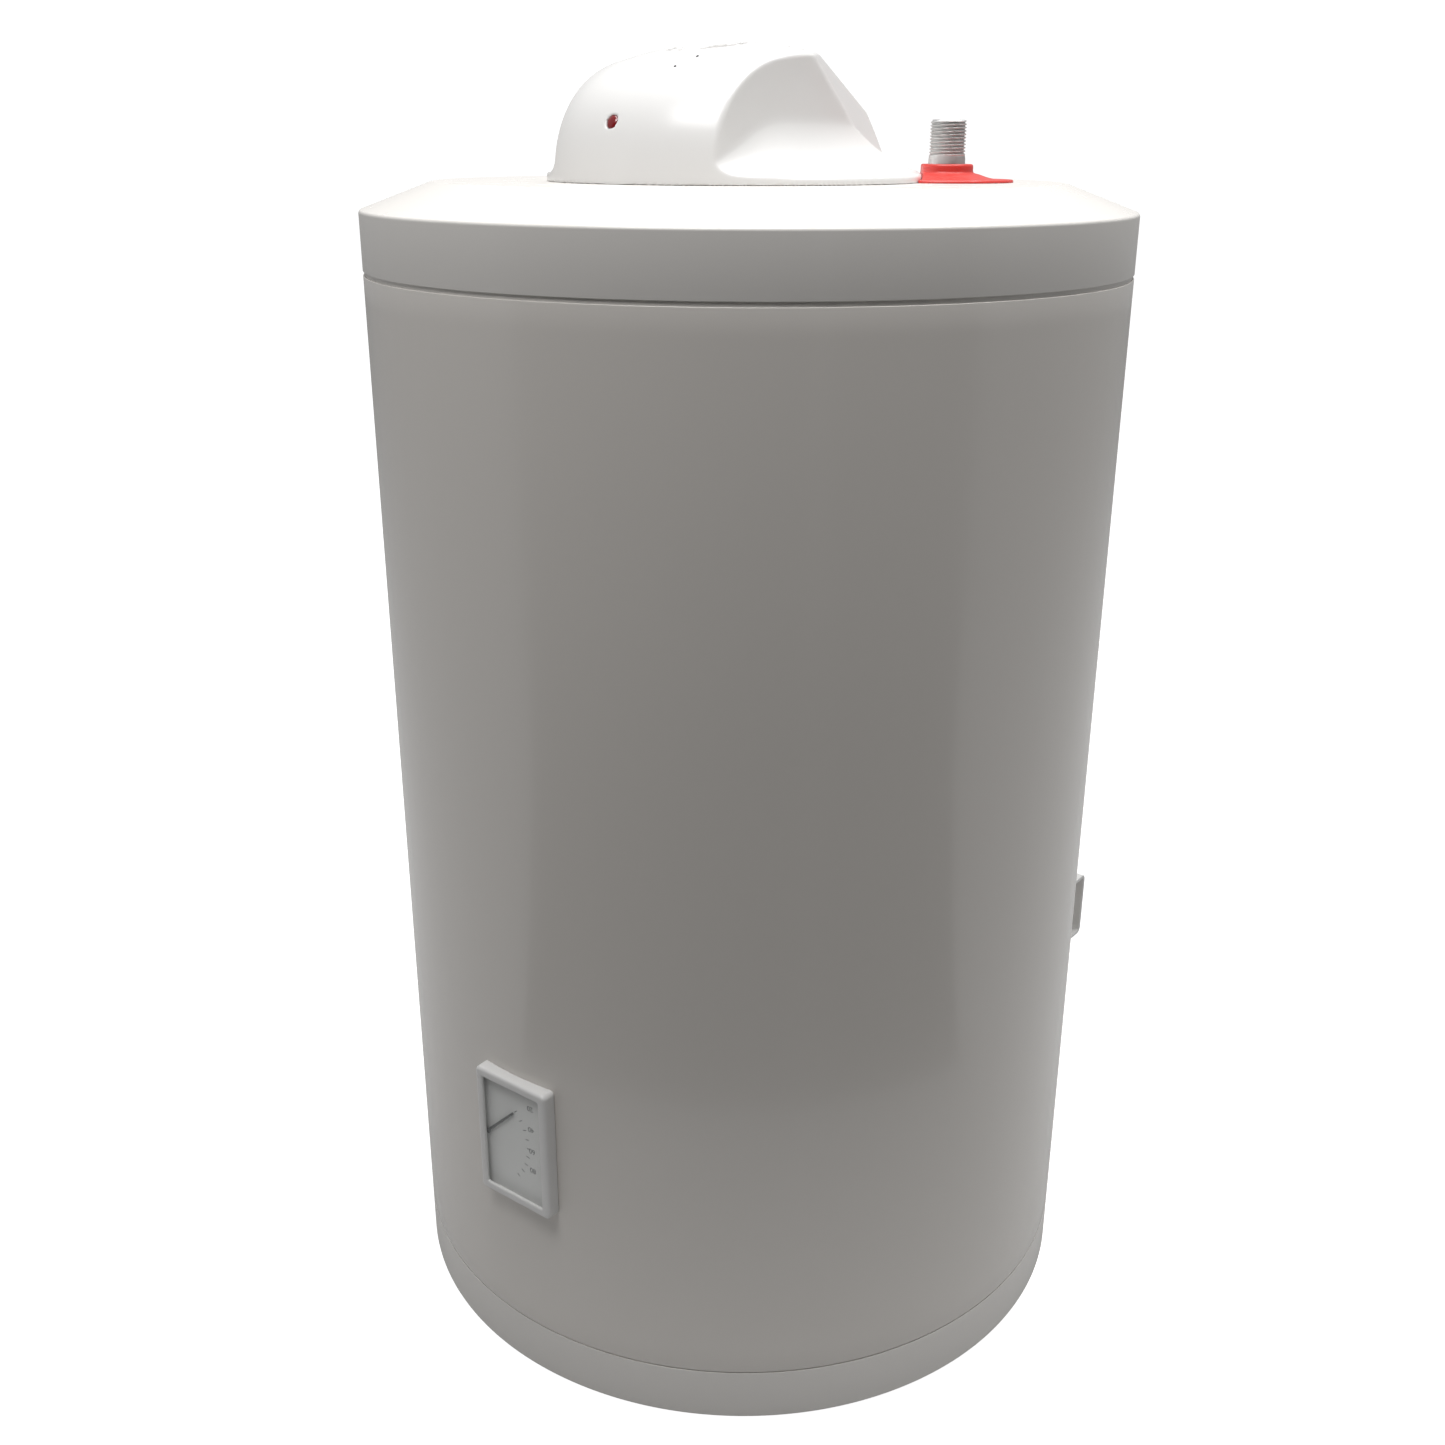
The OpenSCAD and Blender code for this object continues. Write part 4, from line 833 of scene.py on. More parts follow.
print("terminal cover")
cover = {"step": 1.2, "wall": 2.5, "sideX": 56.0, "scoopR": 40.0, "skirt": 4.0, "knuckleR": 62.0,
         "knuckleH": 5.0, "crownR": 207.5, "bevelFall": 39.6, "bevelStart": 63.8, "bevelIn": 24.4,
         "bevelUp": 40.0, "backFall": 19.8, "backStart": -5.0, "edge": 1.6, "crease": 4.0,
         "recessR": 23.0, "recessDepth": 12.5, "hubHole": 7.4, "lampTilt": 25.3, "lampTurn": 2.8,
         "lampHole": 3.9, "frontR": 14.0, "frontY": -93.0, "turnY": -46.0, "screwX": 99.0,
         "glandHole": 7.5, "glandHeight": 14.5}
coverTall = coverHigh[2] - coverLow[2]
knuckleX = coverR - cover["knuckleR"]


def coverRound(x, y, h):
    ring = np.hypot(x, y)
    crownZ = coverTall - cover["crownR"]
    tilt = math.atan2(knuckleX, cover["knuckleH"] - crownZ)
    crown = np.hypot(ring, h - crownZ) - cover["crownR"]
    knuckle = np.hypot(ring - knuckleX, h - cover["knuckleH"]) - cover["knuckleR"]
    foot = ring - coverR
    below = np.where(h < cover["knuckleH"], foot, knuckle)
    return np.where(np.arctan2(ring, h - crownZ) < tilt, crown, below)


def coverOuter(p):
    x, y, h = np.abs(p[:, 0]), p[:, 1], p[:, 2]
    fall, back = math.radians(cover["bevelFall"]), math.radians(cover["backFall"])
    above = y * math.sin(fall) + (h - cover["bevelStart"]) * math.cos(fall)
    slant = math.hypot(cover["bevelIn"], cover["bevelUp"])
    bevel = ((x - cover["sideX"]) * cover["bevelUp"] + above * cover["bevelIn"]) / slant
    rear = (y - cover["backStart"]) * math.sin(back) + (h - coverTall) * math.cos(back)
    side = x - cover["sideX"]
    middle = softMax(softMax(side, bevel, cover["edge"]), rear, cover["edge"])
    # the hollow widens from the front of the side wall to its full radius
    widen = np.maximum((y - cover["frontY"]) / (cover["turnY"] - cover["frontY"]), -0.3)
    widen = softMin(widen, np.ones_like(widen), 0.3)
    scoopR = cover["frontR"] + (cover["scoopR"] - cover["frontR"]) * widen
    scoopX = cover["sideX"] + scoopR - 1.5
    scoopH = cover["skirt"] + scoopR - 0.3
    hollow = scoopR - np.hypot(x - scoopX, h - scoopH)
    hollow = np.maximum(np.maximum(hollow, h - scoopH), x - scoopX)
    hollow = np.maximum(hollow, above)
    low = h - cover["skirt"]
    body = softMin(softMin(middle, hollow, 1.0), low, cover["crease"])
    return softMax(coverRound(x, y, h), body, cover["edge"])


knobSpot, knobAxis = jointPlace(knobJoint)
coverOrigin = np.array([0.0, coverMid[1], plateauZ])
knobHere = np.array(knobSpot) - coverOrigin
lampTilt = math.radians(cover["lampTilt"])
lampTurn = math.radians(cover["lampTurn"])
lampWay = np.array([-math.sin(lampTurn), -math.cos(lampTurn), 0])
lampAxis = lampWay * math.cos(lampTilt) + np.array([0, 0, math.sin(lampTilt)])
lampHere = lampWay * knuckleX + np.array([0, 0, cover["knuckleH"]])


def coverField(p):
    outer = coverOuter(p)
    shell = softMax(outer, -(outer + cover["wall"]), 0.3)
    floor = -cover["recessDepth"]
    cup = rodField(p, knobHere, knobAxis, cover["recessR"] + 2, floor - cover["wall"], 40)
    boss = np.minimum(rodField(p, (cover["screwX"], 0, 0), (0, 0, 1), 8.5),
                      rodField(p, (-cover["screwX"], 0, 0), (0, 0, 1), 8.5))
    solid = softMin(shell, softMax(outer + 1.0, softMin(cup, boss, 0.5), 0.3), 0.6)
    solid = softMax(solid, -rodField(p, knobHere, knobAxis, cover["recessR"], floor, 40, 1.2), 1.4)
    solid = softMax(solid, -rodField(p, knobHere, knobAxis, cover["hubHole"], floor - 12, 10), 0.5)
    solid = softMax(solid, -rodField(p, lampHere, lampAxis, cover["lampHole"], 40, 80), 0.6)
    glandBore = rodField(p, (0, 0, cover["glandHeight"]), (0, 1, 0), cover["glandHole"], 84, 140)
    solid = softMax(solid, -glandBore, 0.5)
    for s in (-1, 1):
        spot = (s * cover["screwX"], 0, 0)
        solid = softMax(solid, -rodField(p, spot, (0, 0, 1), 2.1), 0.3)
        solid = softMax(solid, -rodField(p, spot, (0, 0, 1), 4.4, 1.8, 40), 0.6)
    return softMax(solid, -p[:, 2], 0.6)


coverPiece = fieldObject("cover_shell", coverField, (-coverR, -coverR, 0), (coverR, coverR, coverTall),
                         cover["step"], material["cover_plastic"],
                         Matrix.Translation(coverOrigin))
give(coverPiece, "heater", "cover_plastic", "terminal_cover")

# knob

print("controls")
knob = {"step": 0.42, "radius": 20.0, "top": -0.9, "low": -11.3, "barHalf": 4.2, "dish": 6.2, "hubR": 7.0,
        "hubLong": 8.0, "bore": 3.02, "flutes": 36, "fluteDepth": 0.35, "pointer": 0.55}


def knobField(p):
    x, y, z = p[:, 0], p[:, 1], p[:, 2]
    ring, turn = np.hypot(x, y), np.arctan2(y, x)
    flute = knob["fluteDepth"] * (0.5 + 0.5 * np.cos(turn * knob["flutes"]))
    crown = z - (knob["top"] - (ring / 75) * (ring / 4))
    disc = softMax(softMax(ring - knob["radius"] + flute, crown, 2.0), knob["low"] - z, 0.8)
    inner = softMax(ring - knob["radius"] + 2.6, knob["top"] - knob["dish"] - z, 2.0)
    pockets = softMax(inner, knob["barHalf"] + 0.02 * (knob["radius"] - np.abs(y)) - np.abs(x), 1.6)
    disc = softMax(disc, -pockets, 1.3)
    line = boxField(p, (-0.6, -knob["radius"] - 2, knob["top"] - knob["pointer"] - 0.6),
                    (0.6, -knob["radius"] * 0.4, knob["top"] + 4), 0.2)
    disc = softMax(disc, -line, 0.3)
    hub = softMax(ring - knob["hubR"], knob["low"] - knob["hubLong"] - z, 0.6)
    hub = softMax(hub, z - knob["low"] - 1, 0.2)
    solid = softMin(disc, hub, 0.8)
    bore = softMax(ring - knob["bore"], z - knob["low"] - 7.2, 0.3)
    return softMax(solid, -bore, 0.3)


tiltSpin = Vector((0, 0, 1)).rotation_difference(knobAxis).to_matrix().to_4x4()
knobPlace = Matrix.Translation(knobSpot) @ tiltSpin
knobPiece = fieldObject("dial_knob", knobField, (-21, -21, -20), (21, 21, 0),
                        knob["step"], material["knob_plastic"], knobPlace)
give(knobPiece, "knob", "knob_plastic", "thermostat_knob")

lamp = {"radius": 3.8, "domeHigh": 1.3, "proud": 0.3, "seat": 59.0, "flangeR": 5.2, "flangeThick": 1.4}


def makeLens():
    crest = cover["knuckleR"] + lamp["proud"]
    rows = [(lamp["radius"] * math.sin(t), crest - lamp["domeHigh"] * (1 - math.cos(t)))
            for t in np.linspace(0, math.pi / 2, 9)]
    low = lamp["seat"]
    points = rows + [(lamp["radius"], low), (lamp["flangeR"], low),
                     (lamp["flangeR"], low - lamp["flangeThick"]),
                     (0, low - lamp["flangeThick"])]
    place = turnTo(lampAxis, coverOrigin + lampHere)
    ob = turned("lamp_cap", points, material["lamp_red"], place, sides=64)
    return give(ob, "heater", "lamp_red", "lamp_lens")


makeLens()

screw = {"headR": 3.8, "headLow": 1.8, "headHigh": 1.9, "dome": 0.5, "shankR": 1.9, "shankLow": -14.0,
         "crossHalf": 0.42, "crossReach": 2.5, "crossDeep": 1.1}


def makeCoverScrews():
    top = screw["headLow"] + screw["headHigh"]
    dome = [(screw["headR"] * i / 8, top - screw["dome"] * (i / 8) ** 2) for i in range(9)]
    points = dome + [(screw["headR"], screw["headLow"]), (screw["shankR"], screw["headLow"]),
                     (screw["shankR"], screw["shankLow"] + 2.2), (0.3, screw["shankLow"]),
                     (0, screw["shankLow"])]
    ob = turned("cover_screw_pair", points, material["zinc_steel"], sides=48)
    for i in range(2):
        bm = bmesh.new()
        half = (screw["crossReach"], screw["crossHalf"]) if i else (screw["crossHalf"], screw["crossReach"])
        crossZ = (top - screw["crossDeep"] / 2 + 0.5) * mm
        bmesh.ops.create_cube(bm, size=1, matrix=Matrix.Translation((0, 0, crossZ))
                              @ Matrix.Diagonal((2 * half[0] * mm, 2 * half[1] * mm,
                                                 (screw["crossDeep"] + 1) * mm, 1)))
        slotMesh = bpy.data.meshes.new("cross")
        bm.to_mesh(slotMesh)
        bm.free()
        cutBy(ob, [addObject("cross", slotMesh)])
    runTree(ob, trees["repeated"], Count=2, Start=0.35, Step=math.pi, Reach=0.0,
            Finish=material["zinc_steel"],
            **{"Turn Part": 1.0})
    # the two screws stand either side of the middle
    co = np.zeros(len(ob.data.vertices) * 3)
    ob.data.vertices.foreach_get("co", co)
    co = co.reshape(-1, 3)
    half = len(co) // 2
    co[:half, 0] += cover["screwX"] * mm
    co[half:, 0] -= cover["screwX"] * mm
    co += coverOrigin * mm
    ob.data.vertices.foreach_set("co", co.ravel())
    faceOutward(ob.data, weld=0)
    shadeSmooth(ob.data, 35)
    return give(ob, "heater", "zinc_steel", "cover_screws")


makeCoverScrews()

# two small printed marks beside the knob
marks = {"places": [(21.0, -62.0), (17.0, -76.0)], "long": 3.4, "wide": 1.3, "thick": 0.3}


def makeMarks():
    points, faces = [], []
    for n, (x, y) in enumerate(marks["places"]):
        spot = np.array([[x, y, 60.0]])
        for _ in range(40):
            spot[:, 2] -= coverOuter(spot)
        eps = 0.2
        slope = np.array([(coverOuter(spot + eps * e) - coverOuter(spot - eps * e))[0] for e in np.eye(3)])
        normal = Vector(slope).normalized()
        across = normal.cross(Vector((0, 0, 1))).normalized()
        along = normal.cross(across)
        centre = Vector(coverOrigin + spot[0])
        base = len(points)
        sides = 20
        for lift in (-0.05, marks["thick"]):
            for k in range(sides):
                t = math.tau * k / sides
                long = marks["long"] / 2 * math.cos(t) * (1 if n == 0 else 0.45)
                wide = marks["wide"] / 2 * math.sin(t) * (1 if n == 0 else 1.1)
                points.append((centre + along * long + across * wide + normal * lift) * mm)
        faces.append([base + k for k in range(sides)][::-1])
        faces.append([base + sides + k for k in range(sides)])
        for k in range(sides):
            m = (k + 1) % sides
            faces.append([base + k, base + m, base + sides + m, base + sides + k])
    ob = addObject("cover_marks", meshFrom("cover_marks", points, faces), material["print_grey"])
    faceOutward(ob.data, weld=0)
    return give(ob, "heater", "pointer_black")


makeMarks()

# cord gland

gland = {"bore": 3.7, "body": 7.3, "collar": 9.3, "nose": 5.9, "ribs": 4, "ribDeep": 0.7}


def makeGland():
    low, high = boxOf("cable_gland")
    y0, y1 = low[1], high[1]
    points = [(gland["bore"], y0), (8.4, y0), (8.4, y0 + 1.6), (gland["body"], y0 + 1.6),
              (gland["body"], y0 + 8.2),
              (gland["collar"], y0 + 8.2), (gland["collar"], y0 + 9.7), (gland["body"], y0 + 10)]
    radii = [0.6, 0.5, 0.3, 0.2, 0.2, 0.5, 0.5, 0.4]
    nose0 = y0 + 11
    pitch = (y1 - 0.8 - nose0) / gland["ribs"]
    for i in range(gland["ribs"]):
        r = gland["nose"] - 0.12 * i
        points += [(r, nose0 + i * pitch), (r, nose0 + (i + 0.6) * pitch),
                   (r - gland["ribDeep"], nose0 + (i + 0.7) * pitch),
                   (r - gland["ribDeep"], nose0 + (i + 0.95) * pitch)]
        radii += [0.15, 0.15, 0.1, 0.1]
    points += [(gland["nose"] - 0.6, y1 - 0.8), (gland["nose"] - 0.8, y1), (gland["bore"], y1)]
    radii += [0.1, 0.4, 0.5]
    place = turnTo((0, 1, 0), (0, 0, (low[2] + high[2]) / 2))
    ob = turned("cord_gland", closedSection(points, radii, 3), material["black_plastic"], place, sides=72)
    return give(ob, "heater", "black_plastic", "cable_gland")


makeGland()

# water pipes and their coloured rings

print("pipes")
pipe = {"radius": 10.65, "bore": 8.0, "threadR": 10.48, "threadLong": 20.0, "pitch": 1.814,
        "threadDeep": 1.05, "row": 0.16, "sides": 96}
ring = {"step": 0.8, "radius": 39.0, "thick": 1.6, "coneLow": 27.0, "coneHigh": 17.5, "coneTop": 5.0,
        "hub": 15.5, "hubHigh": 10.0, "hole": 10.95, "collar": 13.7, "coverGap": 0.3}


def makePipe(name, node):
    low, high = boxOf(node)
    top = high[2]
    r, t = pipe["radius"], pipe["threadR"]
    threadLow = top - pipe["threadLong"]
    rows = [(t, z) for z in np.arange(threadLow - 0.5, top - 0.9, pipe["row"])]
    points = [(pipe["bore"], low[2]), (r, low[2]), (r, threadLow - 1.2)] + rows
    points += [(t - 0.35, top - 0.45), (t - 1.1, top), (pipe["bore"] + 0.3, top), (pipe["bore"], top - 0.3)]
    section = points + [points[0]]
    place = Matrix.Translation(Vector(((low[0] + high[0]) / 2, (low[1] + high[1]) / 2, 0)) * mm)
    thread = {"pitch": pipe["pitch"], "depth": pipe["threadDeep"], "low": threadLow, "high": top + 1.2,
              "radius": pipe["bore"] + 1}
    ob = turned(name, section, material["pipe_steel"], place, pipe["sides"], thread, 40)
    return give(ob, "heater", "pipe_steel", node)


def makeRing(name, node, side):
    mid = coverOrigin - np.array([side * 100.0, 59.0, plateauZ])

    def field(p):
        x, y, z = p[:, 0], p[:, 1], p[:, 2]
        far = np.hypot(x, y)
        plate = softMax(far - ring["radius"], z - ring["thick"], 1.2)
        slope = (ring["coneLow"] - ring["coneHigh"]) / (ring["coneTop"] - ring["thick"])
        cone = (far - ring["coneLow"] + (z - ring["thick"]) * slope) / math.hypot(1, slope)
        cone = softMax(cone, z - ring["coneTop"], 1.0)
        hub = softMax(far - ring["hub"], z - ring["hubHigh"], 1.6)
        solid = softMin(softMin(plate, cone, 2.0), hub, 1.6)
        solid = softMax(solid, -z, 0.3)
        collar = softMax(softMax(far - ring["collar"], -z - 2.6, 0.3), z - 1, 0.2)
        solid = softMin(solid, collar, 0.2)
        solid = softMax(solid, ring["hole"] - far, 0.6)
        return softMax(solid, coverR + ring["coverGap"] - np.hypot(x - mid[0], y - mid[1]), 0.8)

    ob = fieldObject(name, field, (-39, -39, -2.6), (39, 39, 10), ring["step"],
                     material["ring_red" if side > 0 else "ring_blue"],
                     Matrix.Translation((side * 100.0, 59.0, plateauZ)))
    return give(ob, "heater", "ring_red" if side > 0 else "ring_blue", node)


makePipe("cold_pipe", "cold_inlet_pipe")
makePipe("hot_pipe", "hot_outlet_pipe")
makeRing("cold_collar", "cold_ring", -1)
makeRing("hot_collar", "hot_ring", 1)

# thermometer

print("thermometer")
bezel = {"step": 0.6, "corner": 3.2, "face": 2.6, "windowW": 46.0, "windowH": 76.0, "windowRound": 1.2,
         "pocketW": 53.6, "pocketH": 84.0, "frame": 1.9}
dial = {"numbers": ["20", "40", "60", "80"], "numberX": 12.0, "numberZ": [202.0, 187.0, 171.5, 157.6],
        "size": 5.0, "thick": 0.08, "tickReach": 33.0, "tickLong": 2.6, "tickWide": 0.45, "ticks": 9,
        "sweep": 88.0}


def makeBezel():
    low, high = bezelLow, bezelHigh
    mid = (low + high) / 2

    def field(p):
        x, y, z = p[:, 0], p[:, 1], p[:, 2]
        # rounded block, its corners rounder in front view than at its face
        qx = np.abs(x - mid[0]) - (high[0] - low[0]) / 2 + bezel["corner"]
        qz = np.abs(z - mid[2]) - (high[2] - low[2]) / 2 + bezel["corner"]
        outline = np.hypot(np.maximum(qx, 0), np.maximum(qz, 0)) + np.minimum(np.maximum(qx, qz), 0)
        outline = outline - bezel["corner"]
        block = softMax(outline, low[1] - y, bezel["face"])
        hole = boxField(p, (mid[0] - bezel["windowW"] / 2, low[1] - 20, mid[2] - bezel["windowH"] / 2),
                        (mid[0] + bezel["windowW"] / 2, low[1] + 20, mid[2] + bezel["windowH"] / 2),
                        bezel["windowRound"])
        pocket = boxField(p, (mid[0] - bezel["pocketW"] / 2, low[1] + bezel["frame"],
                              mid[2] - bezel["pocketH"] / 2),
                          (mid[0] + bezel["pocketW"] / 2, low[1] + 60, mid[2] + bezel["pocketH"] / 2), 0.2)
        solid = softMax(block, -hole, 1.1)
        solid = softMax(solid, -pocket, 0.2)
        return softMax(solid, bodyR + 0.12 - np.hypot(x, y), 0.4)

    ob = fieldObject("thermometer_frame", field, low, high, bezel["step"],
                     material["bezel_plastic"])
    return give(ob, "heater", "bezel_plastic", "thermometer_bezel")


def makeScale():
    # ticks on an arc about the pointer's spindle; the numbers read upright once the heater hangs
    spot, axis = jointPlace(pointerJoint)
    face = dialLow[1]
    bm = bmesh.new()
    bmesh.ops.create_cube(bm, size=1, matrix=Matrix.Diagonal((dial["tickLong"] * mm, dial["tickWide"] * mm,
                                                              dial["thick"] * mm, 1)))
    mesh = bpy.data.meshes.new("dial_ticks")
    bm.to_mesh(mesh)
    bm.free()
    ticks = addObject("dial_ticks", mesh)
    stepAngle = math.radians(dial["sweep"]) / (dial["ticks"] - 1)
    runTree(ticks, trees["repeated"], Count=dial["ticks"], Start=-math.radians(dial["sweep"]) / 2,
            Step=stepAngle,
            Reach=dial["tickReach"] * mm, Finish=material["print_grey"], **{"Turn Part": 1.0})
    upright = Matrix.Rotation(math.radians(90), 4, "X")
    place = Matrix.Translation(Vector((spot.x, face - dial["thick"] / 2 + 0.01, spot.z)) * mm) @ upright
    ticks.data.transform(place)
    faceOutward(ticks.data, weld=0)
    ticks.data.materials.clear()
    ticks.data.materials.append(material["print_grey"])
    give(ticks, "heater", "pointer_black")
    points, faces = [], []
    for number, z in zip(dial["numbers"], dial["numberZ"]):
        text = bpy.data.curves.new("number", "FONT")
        text.body, text.size, text.extrude = number, dial["size"] * mm, dial["thick"] / 2 * mm
        text.resolution_u = 5
        text.align_x, text.align_y = "CENTER", "CENTER"
        ob = bpy.data.objects.new("number", text)
        bpy.context.scene.collection.objects.link(ob)
        bpy.context.view_layer.update()
        graph = bpy.context.evaluated_depsgraph_get()
        piece = bpy.data.meshes.new_from_object(ob.evaluated_get(graph))
        flip = Matrix.Rotation(math.pi, 4, "Y")
        piece.transform(Matrix.Translation(Vector((dial["numberX"], face - dial["thick"] / 2 + 0.01, z)) * mm)
                        @ flip @ upright)
        base = len(points)
        points += [v.co.copy() for v in piece.vertices]
        faces += [[base + i for i in poly.vertices] for poly in piece.polygons]
        bpy.data.objects.remove(ob)
    numbers = addObject("dial_numbers", meshFrom("dial_numbers", points, faces), material["print_grey"])
    faceOutward(numbers.data)
    give(numbers, "heater", "pointer_black")


needle = {"length": 31.4, "root": 1.9, "half": 0.95, "tipHalf": 0.75, "angle": 44.0}


def makeNeedle():
    low, high = boxOf("thermometer_pointer")
    spot, axis = jointPlace(pointerJoint)
    arc = [(needle["root"] * math.cos(t), needle["root"] * math.sin(t)) for t in
           np.linspace(math.radians(28), math.radians(332), 29)]
    tip = [(needle["length"] - needle["tipHalf"] * (1 - math.cos(t)),
            needle["tipHalf"] * math.sin(t)) for t in
           np.linspace(-math.pi / 2, math.pi / 2, 9)]
    outline = arc + [(needle["root"] + 0.8, -needle["half"])] + tip + [(needle["root"] + 0.8, needle["half"])]
    count = len(outline)
    points, faces = [], []
    turn = math.radians(needle["angle"])
    layers = [(low[1], 0.12), (low[1] + 0.12, 0.0), (high[1], 0.0)]
    for y, inset in layers:
        for a, b in outline:
            far = math.hypot(a, b)
            k = 1 - inset / max(far, 1)
            if far < needle["root"] + 0.2:
                a2, b2 = a * k, b * k
            else:
                a2, b2 = a - inset * (a > needle["length"] - 1), b * (1 - inset)
            points.append(Vector((spot.x + a2 * math.cos(turn) - b2 * math.sin(turn), y,
                                  spot.z + a2 * math.sin(turn) + b2 * math.cos(turn))) * mm)
    faces.append(list(range(count)))
    faces.append([2 * count + i for i in range(count)][::-1])
    for layer in range(2):
        for i in range(count):
            j = (i + 1) % count
            here, above = layer * count, (layer + 1) * count
            faces.append([here + i, here + j, above + j, above + i])
    ob = addObject("needle", meshFrom("needle", points, faces), material["pointer_black"])
    bm = bmesh.new()
    bm.from_mesh(ob.data)
    bmesh.ops.recalc_face_normals(bm, faces=bm.faces)
    bm.to_mesh(ob.data)
    bm.free()
    faceOutward(ob.data)
    shadeSmooth(ob.data, 40)
    return give(ob, "pointer", "pointer_black", "thermometer_pointer")


makeBezel()
makeScale()
makeNeedle()

# wall bracket

print("bracket")
bracket = {"thick": 2.5, "bend": 2.4, "slotX": 135.0, "slotR": 5.5, "slotLong": 25.0, "dimpleR": 15.5,
           "dimpleDeep": 6.0, "boltHole": 4.4, "armX": 90.0, "step": 1.1}


def makeBracket():
    low, high = bracketLow, bracketHigh
    mid = (low + high) / 2
    t = bracket["thick"]
    wall = high[1]

    def field(p):
        x, y, z = np.abs(p[:, 0]), p[:, 1], np.abs(p[:, 2] - mid[2])
        half = high[2] - mid[2]
        # a U-shaped channel: its outside less the same shape moved in by the sheet's thickness
        outside = softMax(softMax(z - half, y - wall, 2 * bracket["bend"]), x - high[0], 0.6)
        inside = softMax(z - half + t, y - wall + t, 2 * bracket["bend"] - t)
        solid = softMax(outside, -inside, 0.5)
        solid = softMax(solid, wall - t - 14 - y, 0.5)
        arm = np.hypot(x - bracket["armX"], z)
        boss = softMax(softMax(arm - bracket["dimpleR"] - t, y - wall, 0.5),
                       wall - bracket["dimpleDeep"] - t - y, 2.0)
        solid = softMin(solid, boss, 1.2)
        dimple = softMax(arm - bracket["dimpleR"], wall - bracket["dimpleDeep"] - y, 1.5)
        solid = softMax(solid, -dimple, 1.6)
        solid = softMax(solid, bracket["boltHole"] - arm, 0.4)
        reach = bracket["slotLong"] / 2 - bracket["slotR"]
        slot = np.hypot(np.maximum(np.abs(x - bracket["slotX"]) - reach, 0), z) - bracket["slotR"]
        solid = softMax(solid, -slot, 0.6)
        return softMax(solid, bodyR + 0.5 - np.hypot(x, y), 0.3)

    ob = fieldObject("bracket_channel", field, low, high, bracket["step"],
                     material["bracket_paint"], angle=45)
    return give(ob, "heater", "bracket_paint", "wall_bracket")


def makeBolts():
    low, high = boxOf("bracket_bolts")
    headR, headHigh, shankR = 7.5, 5.3, 4.0
    headLow = high[1] - headHigh
    bm = bmesh.new()
    rings = []
    levels = [(low[1], shankR - 0.7, 0), (low[1] + 0.8, shankR, 0), (headLow, shankR, 0),
              (headLow, headR * 0.9, 0),
              (headLow + 0.5, headR * 0.9, 0), (headLow + 0.5, headR, 1), (high[1] - 0.9, headR, 1),
              (high[1], headR * 0.86, 0.35)]
    sides = 48
    for z, r, hexShare in levels:
        loop = []
        for k in range(sides):
            t = math.tau * k / sides
            flat = math.cos(math.pi / 6) / math.cos((t % (math.pi / 3)) - math.pi / 6)
            size = r * (1 - hexShare + hexShare * flat) if hexShare else min(r, headR * 0.87)
            loop.append(bm.verts.new((size * math.cos(t) * mm, size * math.sin(t) * mm, z * mm)))
        rings.append(loop)
    for a, b in zip(rings, rings[1:]):
        for k in range(sides):
            m = (k + 1) % sides
            bm.faces.new((a[k], a[m], b[m], b[k]))
    bm.faces.new(rings[0][::-1])
    bm.faces.new(rings[-1])
    mesh = bpy.data.meshes.new("bracket_bolt_pair")
    bm.to_mesh(mesh)
    bm.free()
    ob = addObject("bracket_bolt_pair", mesh)
    runTree(ob, trees["repeated"], Count=2, Start=0.0, Step=0.0, Reach=0.0, Finish=material["zinc_steel"],
            **{"Turn Part": 0.0, "Row Step": (2 * bracket["armX"] * mm, 0, 0)})
    mid = (low + high) / 2
    # the row runs along +X, and the bolts' own axis is turned from +Z to +Y
    ob.data.transform(Matrix.Translation(Vector((-bracket["armX"], 0, mid[2])) * mm)
                      @ Matrix.Rotation(math.radians(-90), 4, "X"))
    faceOutward(ob.data, weld=0)
    ob.data.materials.clear()
    ob.data.materials.append(material["zinc_steel"])
    shadeSmooth(ob.data, 30)
    return give(ob, "heater", "zinc_steel", "bracket_bolts")


makeBracket()
makeBolts()

# stage, light and camera

print("stage")
stage = {"floorSize": 14.0, "floorTone": 0.42, "floorSeen": 0.95, "floorGlow": 0.09, "backdrop": 1.05,
         "skyPower": 0.33}


def plainMaterial(name, tone, rough=0.7, scale=3.0, seen=0.0, glow=0.0):
    made = bpy.data.materials.new(name)
    made.use_nodes = True
    w = Wires(made.node_tree)
    shader = made.node_tree.nodes["Principled BSDF"]
    place = w.add("ShaderNodeTexCoord").outputs["Object"]
    drift = w.add("ShaderNodeGroup", node_tree=groups["drift"])
    w.link(place, drift.inputs["Vector"])
    drift.inputs["Color"].default_value = (tone, tone, tone, 1)
    drift.inputs["Scale"].default_value = scale
    drift.inputs["Amount"].default_value = 0.01
    w.link(drift.outputs["Color"], shader.inputs["Base Color"])
    shader.inputs["Roughness"].default_value = rough
    if seen:
        # white to the camera, dimmer in the heater's reflections
        ray = w.add("ShaderNodeLightPath").outputs["Is Camera Ray"]
        shader.inputs["Emission Color"].default_value = (1, 1, 1, 1)
        strength = w.math("ADD", w.math("MULTIPLY", ray, seen - glow), glow)
        w.link(strength, shader.inputs["Emission Strength"])
    return made


def sheetObject(name, corners, made):
    return addObject(name, meshFrom(name, corners, [list(range(len(corners)))]), made)


half = stage["floorSize"] / 2
floor = sheetObject("floor", [(-half, -half, 0), (half, -half, 0), (half, half, 0), (-half, half, 0)],
                    plainMaterial("floorPaper", stage["floorTone"], seen=stage["floorSeen"],
                                  glow=stage["floorGlow"]))

